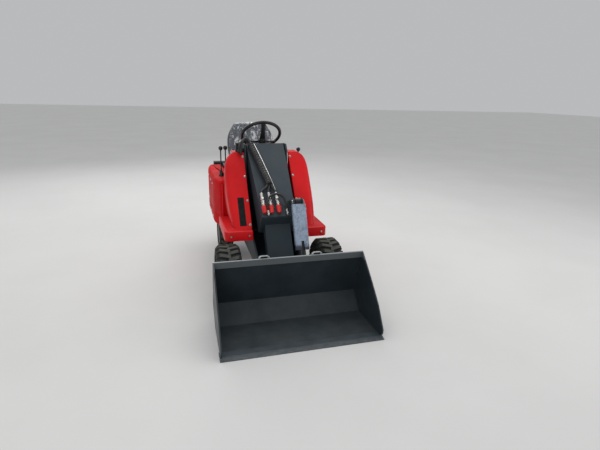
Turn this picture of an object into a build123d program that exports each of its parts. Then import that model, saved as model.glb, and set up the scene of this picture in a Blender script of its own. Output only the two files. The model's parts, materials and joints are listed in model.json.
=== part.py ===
from build123d import *
import math
import os

os.makedirs("parts", exist_ok=True)

# Mini wheel loader with a bucket on a single boom, in millimetres.
# +Z is up, the bucket faces -Y and +X is the machine's left side.
# B is a distance behind the cutting edge's tip and H a height over the ground.

# Overall sizes
overall_length = 2150.0
fit_gap = 0.3
running_gap = 0.05
seat_gap = 0.3

# Bucket
bucket_width = 970.0
bucket_wall = 8.0
edge_depth = 80.0
edge_thickness = 14.0
edge_overhang = 5.0
bucket_floor_b = 365.0
bucket_heel_b, bucket_heel_h = 486.5, 110.0
bucket_top_b, bucket_top_h = 388.0, 433.0
flange_height = 40.0
flange_thickness = 12.0
ear_spacing = 342.0
ear_width = 72.0
ear_rise = 15.0

# Hitch between the boom and the bucket
hitch_pin_b, hitch_pin_h = 545.0, 90.0
hitch_pin_radius = 18.0
hitch_cheek_thickness = 10.0
hitch_play = 6.0

# Boom
boom_pivot_b, boom_pivot_h = 1250.0, 980.0
boom_pivot_radius = 20.0
boom_top_width = 290.0
boom_knee_width = 243.0
boom_nose_width = 180.0
boom_wall = 10.0
boom_play = 8.0
tower_plate = 12.0

# Lift cylinder
lift_eye_b, lift_eye_h = 1060.0, 780.0
lift_base_b, lift_base_h = 1240.0, 340.0
lift_barrel_radius = 32.0
lift_rod_radius = 16.0
lift_pin_radius = 14.0

# Tilt cylinder
tilt_x = 122.0
tilt_base_b, tilt_base_h = 700.0, 700.0
tilt_eye_b, tilt_eye_h = 500.0, 260.0
tilt_barrel_radius = 25.0
tilt_rod_radius = 12.0
tilt_pin_radius = 11.0
guard_width = 92.0
guard_thickness = 4.0

# Front wheels
front_axle_b = 720.0
front_tyre_radius = 205.0
front_tyre_width = 165.0
front_track = 715.0
front_rim_radius = 104.0
front_lug_count = 24

# Rear wheels and steering
rear_axle_b = 1690.0
rear_tyre_radius = 180.0
rear_tyre_width = 120.0
rear_track = 560.0
rear_rim_radius = 84.0
rear_lug_count = 22
kingpin_spacing = 370.0
kingpin_radius = 12.0
steer_arm = 80.0
hub_radius = 20.0
lug_height = 14.0

# Body
cowl_inner_x = 172.0
cowl_half_width = 320.0
cowl_skin = 6.0
fender_half_width = 370.0
pod_inner_x, pod_outer_x = 255.0, 395.0
floor_height = 360.0
floor_plate_thickness = 8.0

# Tow clevis at the back
clevis_reach = 42.0
clevis_h = 430.0
clevis_gap = 36.0
clevis_plate = 12.0
clevis_bore_radius = 10.5
clevis_bore_back = 20.0

# Driver's place
wheel_b, wheel_h = 1400.0, 1087.0
wheel_radius = 165.0
wheel_rim_radius = 13.0
wheel_tilt = 43.0
wheel_dish = 60.0
column_radius = 22.0
seat_width = 450.0


def at(b):
    """Y of a point that lies b behind the cutting edge's tip."""
    return b - overall_length / 2


def outline(points):
    """Closed face in the side view from (b, h) points."""
    return make_face(Polyline(*[(at(b), h) for b, h in points], close=True))


def slab(points, x0, x1):
    """Side-view outline given thickness from x0 to x1."""
    return extrude(Plane.YZ.offset(x0) * outline(points), x1 - x0)


def rounded_slab(points, radius, x0, x1):
    """Side-view outline with all corners rounded, from x0 to x1."""
    face = fillet(outline(points).vertices(), radius)
    return extrude(Plane.YZ.offset(x0) * face, x1 - x0)


def bar_x(b, h, radius, x0, x1):
    """Round bar along X between x0 and x1."""
    turned = Plane((x0, at(b), h), x_dir=(0, 1, 0), z_dir=(1, 0, 0))
    return turned * extrude(Circle(radius), x1 - x0)


def block(x0, x1, b0, b1, h0, h1):
    """Box between two corners."""
    centre = Location(((x0 + x1) / 2, at((b0 + b1) / 2), (h0 + h1) / 2))
    return centre * Box(x1 - x0, b1 - b0, h1 - h0)


def along(start, end):
    """Plane at start whose Z runs to end, with X kept level."""
    a, b = Vector(*start), Vector(*end)
    return Plane(origin=a, x_dir=(1, 0, 0), z_dir=b - a)


def both_sides(solid):
    """Solid and its mirror image across the machine's middle."""
    return solid + mirror(solid, about=Plane.YZ)


def save(node, shape):
    """Writes one node's STEP file."""
    export_step(shape, f"parts/{node}.step")


# Bucket: bent sheet, two side plates, top flange, ears and hitch seats
half_bucket = bucket_width / 2
heel = (bucket_heel_b, bucket_heel_h)
top = (bucket_top_b, bucket_top_h)
wall_run = Vector(top[0] - heel[0], top[1] - heel[1]).normalized()
floor_run = Vector(heel[0] - bucket_floor_b, heel[1]).normalized()
wall_out = Vector(wall_run.Y, -wall_run.X)
floor_out = Vector(floor_run.Y, -floor_run.X)


def sheet_points(offset):
    """Bucket's bent outline, offset inwards from its outer face."""
    lines = [
        ((edge_depth, offset), (bucket_floor_b, offset)),
        (
            (bucket_floor_b - floor_out.X * offset, -floor_out.Y * offset),
            (heel[0] - floor_out.X * offset, heel[1] - floor_out.Y * offset),
        ),
        (
            (heel[0] - wall_out.X * offset, heel[1] - wall_out.Y * offset),
            (top[0] - wall_out.X * offset, top[1] - wall_out.Y * offset),
        ),
    ]
    points = [lines[0][0]]
    for (p, q), (r, s) in zip(lines, lines[1:]):
        points.append(meet(p, q, r, s))
    points.append(lines[-1][1])
    return points


def meet(p, q, r, s):
    """Point where the line through p and q meets the line through r and s."""
    d1 = (q[0] - p[0], q[1] - p[1])
    d2 = (s[0] - r[0], s[1] - r[1])
    cross = d1[0] * d2[1] - d1[1] * d2[0]
    t = ((r[0] - p[0]) * d2[1] - (r[1] - p[1]) * d2[0]) / cross
    return (p[0] + t * d1[0], p[1] + t * d1[1])


outer_run = sheet_points(0)
inner_run = sheet_points(bucket_wall)
bent_sheet = slab(outer_run + inner_run[::-1], -half_bucket, half_bucket)
side_outline = [
    (edge_depth, 0),
    (bucket_floor_b, 0),
    heel,
    top,
    (bucket_top_b - 20, bucket_top_h - 5),
    (210, 292),
    (98, 186),
    (10, 60),
    (14, 30),
    (34, edge_thickness),
    (edge_depth, edge_thickness),
]
side_plate = slab(side_outline, half_bucket - bucket_wall, half_bucket)
flange = slab(
    [
        (top[0] - 2, top[1]),
        (top[0] - 2 - flange_thickness, top[1]),
        (top[0] - 2 - flange_thickness + 4, top[1] - flange_height),
        (top[0] - wall_run.X * flange_height, top[1] - flange_height),
    ],
    -half_bucket,
    half_bucket,
)
ear_profile = SlotOverall(ear_width, 40.0)
ear = Plane((ear_spacing / 2, at(top[0] + 12), top[1] - 5), x_dir=(1, 0, 0), z_dir=(0, -1, 0)) * extrude(
    ear_profile, 12.0
)
bucket = bent_sheet + both_sides(side_plate) + flange + both_sides(ear)
save("bucket", bucket)

edge_profile = [(0, 0), (edge_depth, 0), (edge_depth, edge_thickness), (30, edge_thickness), (0, 4)]
cutting_edge = slab(edge_profile, -half_bucket - edge_overhang, half_bucket + edge_overhang)
save("cutting_edge", cutting_edge)

# Hitch: cheeks beside the boom's nose, a backing plate on the bucket's wall and the pins
nose_half = boom_nose_width / 2
cheek_in = nose_half + hitch_play
cheek_out = cheek_in + hitch_cheek_thickness
tilt_eye_width = 28.0
outer_cheek_in = tilt_x + tilt_eye_width / 2 + 3
wall_back = (heel[0] + wall_out.X * fit_gap, heel[1] + wall_out.Y * fit_gap)


def on_wall(h, out):
    """(b, h) point at height h, out behind the bucket's upper wall."""
    b = heel[0] + wall_run.X / wall_run.Y * (h - heel[1])
    return (b + out / wall_out.X, h)


plate_back = 12.0
cheek_points = [
    on_wall(heel[1] + 12, 0),
    on_wall(340, 0),
    on_wall(340, 24),
    (tilt_eye_b + 26, tilt_eye_h + 20),
    (tilt_eye_b + 28, tilt_eye_h - 20),
    (hitch_pin_b + 36, hitch_pin_h + 22),
    (hitch_pin_b + 32, hitch_pin_h - 22),
    (hitch_pin_b, hitch_pin_h - 36),
    (heel[0] + 8, heel[1] - 26),
]
cheek_left = slab(cheek_points, cheek_in, cheek_out)
cheek_right = slab(cheek_points, -cheek_out, -cheek_in)
outer_points = [
    on_wall(heel[1] + 60, 0),
    on_wall(320, 0),
    on_wall(320, 24),
    (tilt_eye_b + 24, tilt_eye_h + 16),
    (tilt_eye_b + 24, tilt_eye_h - 18),
]
outer_cheek = slab(outer_points, outer_cheek_in, outer_cheek_in + hitch_cheek_thickness)
backing = slab(
    [on_wall(heel[1] + 12, 0), on_wall(360, 0), on_wall(360, plate_back), on_wall(heel[1] + 12, plate_back)],
    -cheek_out - 60,
    outer_cheek_in + hitch_cheek_thickness + 10,
)
backing -= slab(
    [on_wall(heel[1] + 40, -1), on_wall(361, -1), on_wall(361, plate_back + 1), on_wall(heel[1] + 40, plate_back + 1)],
    cheek_out,
    outer_cheek_in,
)
hitch_pin = bar_x(hitch_pin_b, hitch_pin_h, hitch_pin_radius, -cheek_out - 8, cheek_out + 2)
hitch_plate = cheek_left + cheek_right + outer_cheek + backing + hitch_pin
save("hitch_plate", hitch_plate)

# Boom: an inverted channel down to the knee, then a narrower nose
top_face = [(1213.0, 1006.0), (757.0, 634.0)]
slope = math.atan2(top_face[0][1] - top_face[1][1], top_face[0][0] - top_face[1][0])
run = Vector(math.cos(slope), math.sin(slope))
depth_dir = Vector(math.sin(slope), -math.cos(slope))
hub_radius_boom = 44.0
box_depth = 130.0
lip = (715.0, 634.0 - (757.0 - 715.0) * math.tan(slope))


def below(point, depth):
    """Point that lies depth under the boom's top face."""
    return (point[0] + depth_dir.X * depth, point[1] + depth_dir.Y * depth)


rear_top = (1250.0, 634.0 + (1250.0 - 757.0) * math.tan(slope))
box_points = [lip, rear_top, below(rear_top, 2 * hub_radius_boom), below((950.0, 634.0 + 193.0 * math.tan(slope)), box_depth), below(lip, 190.0), below(lip, 60.0)]
plan = make_face(
    Polyline(
        (boom_top_width / 2, at(1400)),
        (boom_top_width / 2, at(top_face[0][0])),
        (boom_knee_width / 2, at(top_face[1][0])),
        (boom_knee_width / 2 - 3, at(600)),
        (-boom_knee_width / 2 + 3, at(600)),
        (-boom_knee_width / 2, at(top_face[1][0])),
        (-boom_top_width / 2, at(top_face[0][0])),
        (-boom_top_width / 2, at(1400)),
        close=True,
    )
)
boom_box = slab(box_points, -boom_top_width / 2, boom_top_width / 2)
hub = bar_x(boom_pivot_b, boom_pivot_h, hub_radius_boom, -boom_top_width / 2, boom_top_width / 2)
boom_box = (boom_box + hub) & extrude(plan, 1300.0)
hollow_plan = offset(plan, -boom_wall, kind=Kind.INTERSECTION)
hollow_points = [
    below((lip[0] + 14, lip[1] + 14 * math.tan(slope)), boom_wall),
    below((1150.0, 634.0 + 393.0 * math.tan(slope)), boom_wall),
    below((1150.0, 634.0 + 393.0 * math.tan(slope)), 260.0),
    below((lip[0] + 14, lip[1] + 14 * math.tan(slope)), 260.0),
]
hollow = slab(hollow_points, -boom_top_width / 2, boom_top_width / 2) & extrude(hollow_plan, 1300.0)
boom_box = boom_box - hollow
nose_points = [
    (792.0, 550.0),
    (750.0, 487.0),
    (676.0, 365.0),
    (hitch_pin_b - 34, hitch_pin_h + 6),
    (hitch_pin_b - 20, hitch_pin_h - 30),
    (hitch_pin_b + 12, hitch_pin_h - 36),
    (hitch_pin_b + 36, hitch_pin_h - 10),
    (640.0, 190.0),
    (790.0, 400.0),
    (870.0, 520.0),
    below((lip[0] + 130, lip[1] + 130 * math.tan(slope)), boom_wall / 2),
    below((lip[0] + 20, lip[1] + 20 * math.tan(slope)), boom_wall / 2),
]
nose = slab(nose_points, -nose_half, nose_half)
lug_in, lug_out = 26.0, 38.0
lift_lug = slab(
    [
        below((lift_eye_b - 30, 634.0 + (lift_eye_b - 30 - 757) * math.tan(slope)), boom_wall / 2),
        below((lift_eye_b + 40, 634.0 + (lift_eye_b + 40 - 757) * math.tan(slope)), boom_wall / 2),
        (lift_eye_b + 26, lift_eye_h + 6),
        (lift_eye_b + 16, lift_eye_h - 20),
        (lift_eye_b - 16, lift_eye_h - 20),
        (lift_eye_b - 26, lift_eye_h + 6),
    ],
    lug_in,
    lug_out,
)
tilt_ear_gap = 52.0
ear_points = [
    (tilt_base_b - 24, tilt_base_h - 10),
    (tilt_base_b - 18, tilt_base_h + 20),
    (tilt_base_b + 8, tilt_base_h + 26),
    (tilt_base_b + 26, tilt_base_h + 10),
    (820.0, 680.0),
    (815.0, 660.0),
    (745.0, 604.0),
    (735.0, 600.0),
]
ear_a = slab(ear_points, tilt_x - tilt_ear_gap / 2 - 10, tilt_x - tilt_ear_gap / 2)
ear_b = slab(ear_points, tilt_x + tilt_ear_gap / 2, tilt_x + tilt_ear_gap / 2 + 10)
ear_base = slab(
    [(745.0, 604.0), (815.0, 661.0), below((815.0, 661.0), 12), below((745.0, 604.0), 12)],
    tilt_x - tilt_ear_gap / 2,
    tilt_x + tilt_ear_gap / 2 + 10,
)
tilt_pin = bar_x(tilt_base_b, tilt_base_h, tilt_pin_radius, tilt_x - tilt_ear_gap / 2 - 14, tilt_x + tilt_ear_gap / 2 + 14)
boom_arm = boom_box + nose + both_sides(lift_lug) + ear_a + ear_b + ear_base + tilt_pin
boom_arm -= bar_x(boom_pivot_b, boom_pivot_h, boom_pivot_radius + running_gap, -200, 200)
boom_arm -= bar_x(hitch_pin_b, hitch_pin_h, hitch_pin_radius + running_gap, -nose_half - 1, nose_half + 1)
save("boom_arm", boom_arm)

# Tower: two plates that carry the boom's pin, and reach down past the front axle
tower_in = boom_top_width / 2 + boom_play
tower_out = tower_in + tower_plate
tower_points = [
    (650.0, 140.0),
    (790.0, 140.0),
    (830.0, 240.0),
    (1380.0, 240.0),
    (1380.0, 400.0),
    (1330.0, 400.0),
    (1310.0, 1000.0),
    (1280.0, 1034.0),
    (1220.0, 1034.0),
    (1190.0, 1000.0),
    (1150.0, 560.0),
    (900.0, 420.0),
    (650.0, 300.0),
]
tower_plate_left = slab(tower_points, tower_in, tower_out)
boom_pin = bar_x(boom_pivot_b, boom_pivot_h, boom_pivot_radius, -tower_out - 5, tower_out + 5)
lift_pin = bar_x(lift_base_b, lift_base_h, lift_pin_radius, -tower_in, tower_in)
belly = block(-tower_in, tower_in, 830.0, 1380.0, 240.0, 250.0)
boom_tower = both_sides(tower_plate_left) + boom_pin + lift_pin + belly
save("boom_tower", boom_tower)

# Lift cylinder
def cylinder_parts(base, eye, barrel_radius, rod_radius, base_pin, eye_pin, width, eye_width, x, dead, room):
    """Barrel with its base eye, and rod with its end eye, both closed at rest."""
    start = (x, at(base[0]), base[1])
    end = (x, at(eye[0]), eye[1])
    length = (Vector(*end) - Vector(*start)).length
    frame = along(start, end)
    barrel_end = length - dead
    base_eye = bar_x(base[0], base[1], base_pin + 12, x - width / 2, x + width / 2)
    barrel = base_eye + frame * Pos(0, 0, 14) * extrude(Circle(barrel_radius), barrel_end - 14)
    bore_start = base_pin + 26
    barrel -= frame * Pos(0, 0, bore_start) * extrude(Circle(rod_radius + running_gap), length)
    barrel -= bar_x(base[0], base[1], base_pin + running_gap, x - width, x + width)
    rod = frame * Pos(0, 0, bore_start + room) * extrude(Circle(rod_radius), length - bore_start - room)
    rod += bar_x(eye[0], eye[1], eye_pin + 9, x - eye_width / 2, x + eye_width / 2)
    return barrel, rod


lift_barrel, lift_rod = cylinder_parts(
    (lift_base_b, lift_base_h), (lift_eye_b, lift_eye_h), lift_barrel_radius, lift_rod_radius,
    lift_pin_radius, lift_pin_radius, 48.0, 44.0, 0.0, 60.0, 6.0,
)
save("lift_cylinder_barrel", lift_barrel)
save("lift_cylinder_rod", lift_rod)
tilt_barrel, tilt_rod = cylinder_parts(
    (tilt_base_b, tilt_base_h), (tilt_eye_b, tilt_eye_h), tilt_barrel_radius, tilt_rod_radius,
    tilt_pin_radius, tilt_pin_radius, 40.0, tilt_eye_width, tilt_x, 110.0, 58.0,
)
save("tilt_cylinder_barrel", tilt_barrel)
save("tilt_cylinder_rod", tilt_rod)

# Guard: folded channel over the tilt cylinder, forked at its lower end
tilt_line = along((tilt_x, at(tilt_base_b), tilt_base_h), (tilt_x, at(tilt_eye_b), tilt_eye_h))
guard_start, guard_end = 18.0, 330.0
guard_face = make_face(
    Polyline(
        (-guard_width / 2, guard_start),
        (guard_width / 2, guard_start),
        (guard_width / 2, guard_end),
        (14, guard_end),
        (14, guard_end - 60),
        (-6, guard_end - 60),
        (-6, guard_end),
        (-guard_width / 2, guard_end),
        close=True,
    )
)
front_of_line = tilt_line.y_dir if tilt_line.y_dir.Y < 0 else -tilt_line.y_dir
web_plane = Plane(
    origin=tilt_line.origin + front_of_line * (tilt_barrel_radius + 0.0),
    x_dir=(1, 0, 0),
    z_dir=front_of_line,
)
down_sign = 1 if web_plane.y_dir.Z < 0 else -1
guard_web = web_plane * extrude(guard_face if down_sign > 0 else mirror(guard_face, about=Plane.XZ), guard_thickness)
flange_face = Rectangle(guard_thickness, guard_end - guard_start)
flange_left = web_plane * Pos(guard_width / 2 - guard_thickness / 2, down_sign * (guard_start + guard_end) / 2, 0) * extrude(flange_face, -28.0)
flange_right = web_plane * Pos(-guard_width / 2 + guard_thickness / 2, down_sign * (guard_start + guard_end) / 2, 0) * extrude(flange_face, -28.0)
tilt_guard = guard_web + flange_left + flange_right
save("tilt_guard", tilt_guard)


# Wheels
def tyre(radius, width, rim_radius, lugs):
    """Tyre on the X axis at the origin, with interlocking slanted lugs."""
    carcass = radius - lug_height
    half = width / 2
    profile = make_face(
        Polyline(
            (-half * 0.78, rim_radius + fit_gap),
            (-half * 0.78, rim_radius + 8),
            (-half, rim_radius + 30),
            (-half, carcass - 34),
            (-half * 0.86, carcass - 8),
            (-half * 0.55, carcass),
            (half * 0.55, carcass),
            (half * 0.86, carcass - 8),
            (half, carcass - 34),
            (half, rim_radius + 30),
            (half * 0.78, rim_radius + 8),
            (half * 0.78, rim_radius + fit_gap),
            close=True,
        )
    )
    body = revolve(profile, Axis.X)
    pitch = 2 * math.pi * radius / lugs
    lug_width = pitch * 0.5
    skew = pitch * 0.5
    crown = math.sqrt(radius**2 - ((lug_width + skew) / 2) ** 2)
    face = make_face(
        Polyline(
            (-half * 0.10, -(lug_width + skew) / 2),
            (half * 0.97, (skew - lug_width) / 2),
            (half * 0.97, (skew + lug_width) / 2),
            (-half * 0.10, (lug_width - skew) / 2),
            close=True,
        )
    )
    bar = Pos(0, 0, carcass - 26) * extrude(face, crown - carcass + 26)
    cut = make_face(
        Polyline(
            (half * 0.70, crown + 1),
            (half * 1.10, crown + 1),
            (half * 1.10, carcass - 40),
            (half * 1.0, carcass - 40),
            (half * 0.99, crown - 24),
            close=True,
        )
    )
    bar -= Plane.XZ * Pos(0, 0, -pitch) * extrude(cut, 2 * pitch)
    left = [Rot(X=360 / lugs * i) * bar for i in range(lugs)]
    other = mirror(bar, about=Plane.YZ)
    right = [Rot(X=360 / lugs * (i + 0.5)) * other for i in range(lugs)]
    return body + left + right


def rim(rim_radius, width, bore):
    """Wheel rim on the X axis at the origin, its disc towards +X."""
    half = width * 0.39 + 5.0 + fit_gap
    profile = make_face(
        Polyline(
            (-half, rim_radius - 8),
            (-half, rim_radius + 6),
            (-half + 5, rim_radius + 6),
            (-half + 5, rim_radius),
            (half - 5, rim_radius),
            (half - 5, rim_radius + 6),
            (half, rim_radius + 6),
            (half, rim_radius - 8),
            (half * 0.5, rim_radius - 10),
            (half * 0.4, 62),
            (half * 0.62, 46),
            (half * 0.62, bore),
            (half * 0.62 - 40, bore),
            (half * 0.62 - 40, 34),
            (half * 0.62 - 10, 38),
            (half * 0.4 - 8, 58),
            (half * 0.5 - 10, rim_radius - 12),
            (half * 0.5 - 16, rim_radius - 8),
            close=True,
        )
    )
    return revolve(profile, Axis.X)


def place(solid, side, track, b, h):
    """Left-hand wheel piece set at its axle, mirrored for side -1."""
    shape = Pos(track / 2, at(b), h) * solid
    return shape if side > 0 else mirror(shape, about=Plane.YZ)


front_tyre = tyre(front_tyre_radius, front_tyre_width, front_rim_radius, front_lug_count)
rear_tyre = tyre(rear_tyre_radius, rear_tyre_width, rear_rim_radius, rear_lug_count)
bore = hub_radius + running_gap
front_rim = rim(front_rim_radius, front_tyre_width, bore)
rear_rim = rim(rear_rim_radius, rear_tyre_width, bore)
for side, name in ((1, "left"), (-1, "right")):
    save(f"front_tyre_{name}", place(front_tyre, side, front_track, front_axle_b, front_tyre_radius))
    save(f"front_rim_{name}", place(front_rim, side, front_track, front_axle_b, front_tyre_radius))
    save(f"rear_tyre_{name}", place(rear_tyre, side, rear_track, rear_axle_b, rear_tyre_radius))
    save(f"rear_rim_{name}", place(rear_rim, side, rear_track, rear_axle_b, rear_tyre_radius))

# Front wheel motors, bolted to the tower plates
rim_face = front_track / 2 + (front_tyre_width * 0.39 + 5.3) * 0.62
motor = bar_x(front_axle_b, front_tyre_radius, 62.0, tower_out, tower_out + 70)
motor += bar_x(front_axle_b, front_tyre_radius, 46.0, tower_out + 70, rim_face - 44)
motor += bar_x(front_axle_b, front_tyre_radius, hub_radius, rim_face - 44, rim_face + 6)
wheel_motors = both_sides(motor)
save("front_wheel_motors", wheel_motors)

# Chassis: rear rails and cross plates behind the tower
rail_in, rail_out = 92.0, 108.0
rail = slab(
    [(1380.3, 250.0), (2050.0, 250.0), (2080.0, 300.0), (2080.0, 400.0), (1380.3, 400.0)],
    rail_in,
    rail_out,
)
front_plate = block(-tower_out, tower_out, 1380.0, 1392.0, 240.0, 400.0)
mid_plate = block(-rail_in, rail_in, 1600.0, 1612.0, 262.0, 400.0)
tail_plate = block(-rail_out, rail_out, 2080.0, 2092.0, 250.0, 400.0)
deck = block(-230.0, 230.0, 1380.0, 2092.0, 400.0, 408.0)
chassis_frame = both_sides(rail) + front_plate + mid_plate + tail_plate + deck
save("chassis_frame", chassis_frame)

# Rear axle beam with bosses for the kingpins, and the steering cylinder's body
beam_h = rear_tyre_radius
king_x = kingpin_spacing / 2
boss_height = 56.0
beam = block(-king_x, king_x, rear_axle_b - 26, rear_axle_b + 26, beam_h - 22, beam_h + 22)
bosses = both_sides(Pos(king_x, at(rear_axle_b), beam_h - boss_height / 2) * extrude(Circle(24.0), boss_height))
pylon = block(-60, 60, rear_axle_b - 30, rear_axle_b + 30, beam_h + 22, 250.0 - 0.0)
pylon += block(-rail_in, rail_in, rear_axle_b - 40, rear_axle_b + 40, 250.0, 262.0)
steer_body = bar_x(rear_axle_b + steer_arm, beam_h, 26.0, -95.0, 95.0)
steer_mount = block(-40, 40, rear_axle_b + 26, rear_axle_b + steer_arm - 18, beam_h - 16, beam_h + 16)
rear_axle = beam + bosses + pylon + steer_body + steer_mount
rear_axle -= both_sides(
    Pos(king_x, at(rear_axle_b), beam_h - boss_height) * extrude(Circle(kingpin_radius + running_gap), 2 * boss_height)
)
steer_rod_radius = 10.0
rear_axle -= bar_x(rear_axle_b + steer_arm, beam_h, steer_rod_radius + running_gap, -100.0, 100.0)
save("rear_axle", rear_axle)

rod_end = king_x
steering_rod = bar_x(rear_axle_b + steer_arm, beam_h, steer_rod_radius, -rod_end, rod_end)
save("steering_rod", steering_rod)

# Knuckles: a bracket around the boss, the kingpin, the wheel's spindle and the steering arm
ear_gap = 1.0
rear_rim_face = rear_track / 2 + (rear_tyre_width * 0.39 + 5.3) * 0.62
arm_h = beam_h - boss_height / 2 - ear_gap - 12
knuckle = Pos(king_x, at(rear_axle_b), beam_h + boss_height / 2 + ear_gap) * extrude(Circle(26.0), 12.0)
knuckle += Pos(king_x, at(rear_axle_b), arm_h) * extrude(Circle(26.0), 12.0)
for h in (beam_h + boss_height / 2 + ear_gap, arm_h):
    knuckle += block(king_x, king_x + 44, rear_axle_b - 26, rear_axle_b + 26, h, h + 12)
knuckle += block(king_x + 30, king_x + 44, rear_axle_b - 26, rear_axle_b + 26, arm_h, beam_h + boss_height / 2 + ear_gap + 12)
knuckle += Pos(king_x, at(rear_axle_b), arm_h) * extrude(Circle(kingpin_radius), boss_height + 2 * ear_gap + 24)
knuckle += bar_x(rear_axle_b, beam_h, hub_radius, king_x + 44, rear_rim_face + 6)
knuckle += block(king_x - 14, king_x + 14, rear_axle_b, rear_axle_b + steer_arm + 14, arm_h, arm_h + 12)
save("knuckle_left", knuckle)
save("knuckle_right", mirror(knuckle, about=Plane.YZ))

# Front cowl: a sloping shell each side of the boom
cowl_base_h = 490.0
cowl_points = [(820.0, cowl_base_h), (1190.0, 965.0), (1199.7, 975.0), (1199.7, cowl_base_h)]
inner_points = [(832.0, cowl_base_h - 1), (1193.0, 956.0), (1201.0, 964.0), (1201.0, cowl_base_h - 1)]
cowl = slab(cowl_points, cowl_inner_x, cowl_half_width)
cowl -= slab(inner_points, cowl_inner_x + cowl_skin, cowl_half_width - cowl_skin)
cowl += block(cowl_inner_x, pod_inner_x - seat_gap, 1199.7, 1328.0, 969.0, 975.0)
save("front_cowl_left", cowl)
save("front_cowl_right", mirror(cowl, about=Plane.YZ))

# Front fender: a shelf over the wheel, under the cowl
arch = front_tyre_radius + 14
fender = block(cowl_inner_x, fender_half_width, 770.0, 1190.0, 420.0, cowl_base_h)
fender -= block(cowl_inner_x + cowl_skin, fender_half_width - cowl_skin, 770.0 + cowl_skin, 1191.0, 419.0, cowl_base_h - cowl_skin)
save("front_fender_left", fender)
save("front_fender_right", mirror(fender, about=Plane.YZ))

# Side pods behind the cowl
pod_points = [(1200.0, 390.0), (1200.0, 700.0), (1240.0, 764.0), (1960.0, 764.0), (2000.0, 730.0), (2000.0, 390.0)]
pod = slab(pod_points, pod_inner_x, pod_outer_x)
save("side_pod_left", pod)
save("side_pod_right", mirror(pod, about=Plane.YZ))

# Floor plate and its carriers
floor_plate = block(-pod_inner_x + seat_gap, pod_inner_x - seat_gap, 1392.3, 1530.0, 408.0, 408.0 + floor_plate_thickness)
save("floor_plate", floor_plate)

# Engine, its cover and the counterweight
engine_block = block(-170.0, 170.0, 1560.0, 1960.0, 408.0, 700.0)
save("engine_block", engine_block)
cover_outer = block(-pod_inner_x + seat_gap, pod_inner_x - seat_gap, 1530.0, 2030.0, 408.0, 770.0)
cover_inner = block(-pod_inner_x + 10, pod_inner_x - 10, 1540.0, 2031.0, 407.0, 760.0)
engine_cover = cover_outer - cover_inner
save("engine_cover", engine_cover)
back_b = overall_length - clevis_reach
counterweight = rounded_slab(
    [(2030.3, 330.0), (back_b, 360.0), (back_b, 720.0), (2090.0, 780.0), (2030.3, 780.0)], 12.0, -330.0, 330.0
)
counterweight -= block(-rail_out - 1, rail_out + 1, 2030.0, 2092.3, 249.0, 408.3)
counterweight -= block(-231.0, 231.0, 2030.0, 2092.3, 399.0, 408.3)
for h in (clevis_h, clevis_h + clevis_gap + clevis_plate):
    counterweight += block(-30.0, 30.0, back_b - 2, overall_length, h, h + clevis_plate)
counterweight -= Pos(0, at(overall_length - clevis_bore_back), clevis_h - 1) * extrude(
    Circle(clevis_bore_radius), clevis_gap + 2 * clevis_plate + 2
)
save("counterweight", counterweight)

# Seat
seat_cushion = block(-seat_width / 2, seat_width / 2, 1500.0, 1900.0, 770.3, 860.0)
save("seat_cushion", seat_cushion)
seat_back = slab([(1860.0, 860.3), (1960.0, 860.3), (2000.0, 1150.0), (1920.0, 1150.0)], -seat_width / 2, seat_width / 2)
save("seat_back", seat_back)

# Dash, steering column and wheel
dash_panel = block(-200.0, 200.0, 1334.0, 1392.0, 408.3, 985.0)
save("dash_panel", dash_panel)
tilt = math.radians(wheel_tilt)
axis_dir = Vector(0, math.sin(tilt), math.cos(tilt))
wheel_centre = Vector(0, at(wheel_b), wheel_h)
hub_point = wheel_centre - axis_dir * wheel_dish
column_plane = Plane(origin=hub_point, x_dir=(1, 0, 0), z_dir=-axis_dir)
steering_column = column_plane * Pos(0, 0, 12.3) * extrude(Circle(column_radius), 32.0)
column_foot = block(-40, 40, 1345.0, 1390.0, 985.3, 1010.0)
save("steering_column", steering_column + column_foot)
wheel_plane = Plane(origin=wheel_centre, x_dir=(1, 0, 0), z_dir=axis_dir)
hub_plane = Plane(origin=hub_point, x_dir=(1, 0, 0), z_dir=axis_dir)
ring = wheel_plane * Torus(wheel_radius - wheel_rim_radius, wheel_rim_radius)
steering_wheel = ring + hub_plane * Pos(0, 0, -12) * extrude(Circle(30.0), 30.0)
for angle in (90, 210, 330):
    a = math.radians(angle)
    reach = wheel_radius - wheel_rim_radius
    start = hub_point
    end = wheel_centre + (wheel_plane.x_dir * math.cos(a) + wheel_plane.y_dir * math.sin(a)) * reach
    steering_wheel += Plane(origin=start, z_dir=end - start) * extrude(Circle(7.0), (end - start).length)
save("steering_wheel", steering_wheel)

# Levers on the right pod and the throttle on the left one
lever_rows = [
    # x, b, knob height, pod top height
    (-290.0, 1370.0, 990.0, 764.0),
    (-325.0, 1385.0, 985.0, 764.0),
    (310.0, 1390.0, 970.0, 764.0),
]
control_levers = []
for x, b, knob_h, base_h in lever_rows:
    stem = Pos(x, at(b), base_h + seat_gap) * extrude(Circle(5.0), knob_h - base_h)
    control_levers.append(stem + Pos(x, at(b), knob_h) * Sphere(17.0))
save("control_levers", Compound(children=control_levers))

valve_box = block(-226.0, -176.0, 1212.0, 1266.0, 975.3, 1042.0)
save("valve_box", valve_box)

# Hoses and couplers on the boom
def top_at(b):
    """Height of the boom's top face at distance b."""
    return 634.0 + (b - 757.0) * math.tan(slope)


normal = Vector(0, -math.sin(slope), math.cos(slope))


def over_top(x, b, lift):
    """Point lift over the boom's top face."""
    return Vector(x, at(b), top_at(b)) + normal * lift


def hose(points, radius, radii):
    """Round hose along straight runs joined by tangent arcs."""
    path = FilletPolyline(*points, radius=radii)
    first = points[1] - points[0]
    return sweep(Plane(origin=points[0], z_dir=first) * Circle(radius), path=path)


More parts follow.
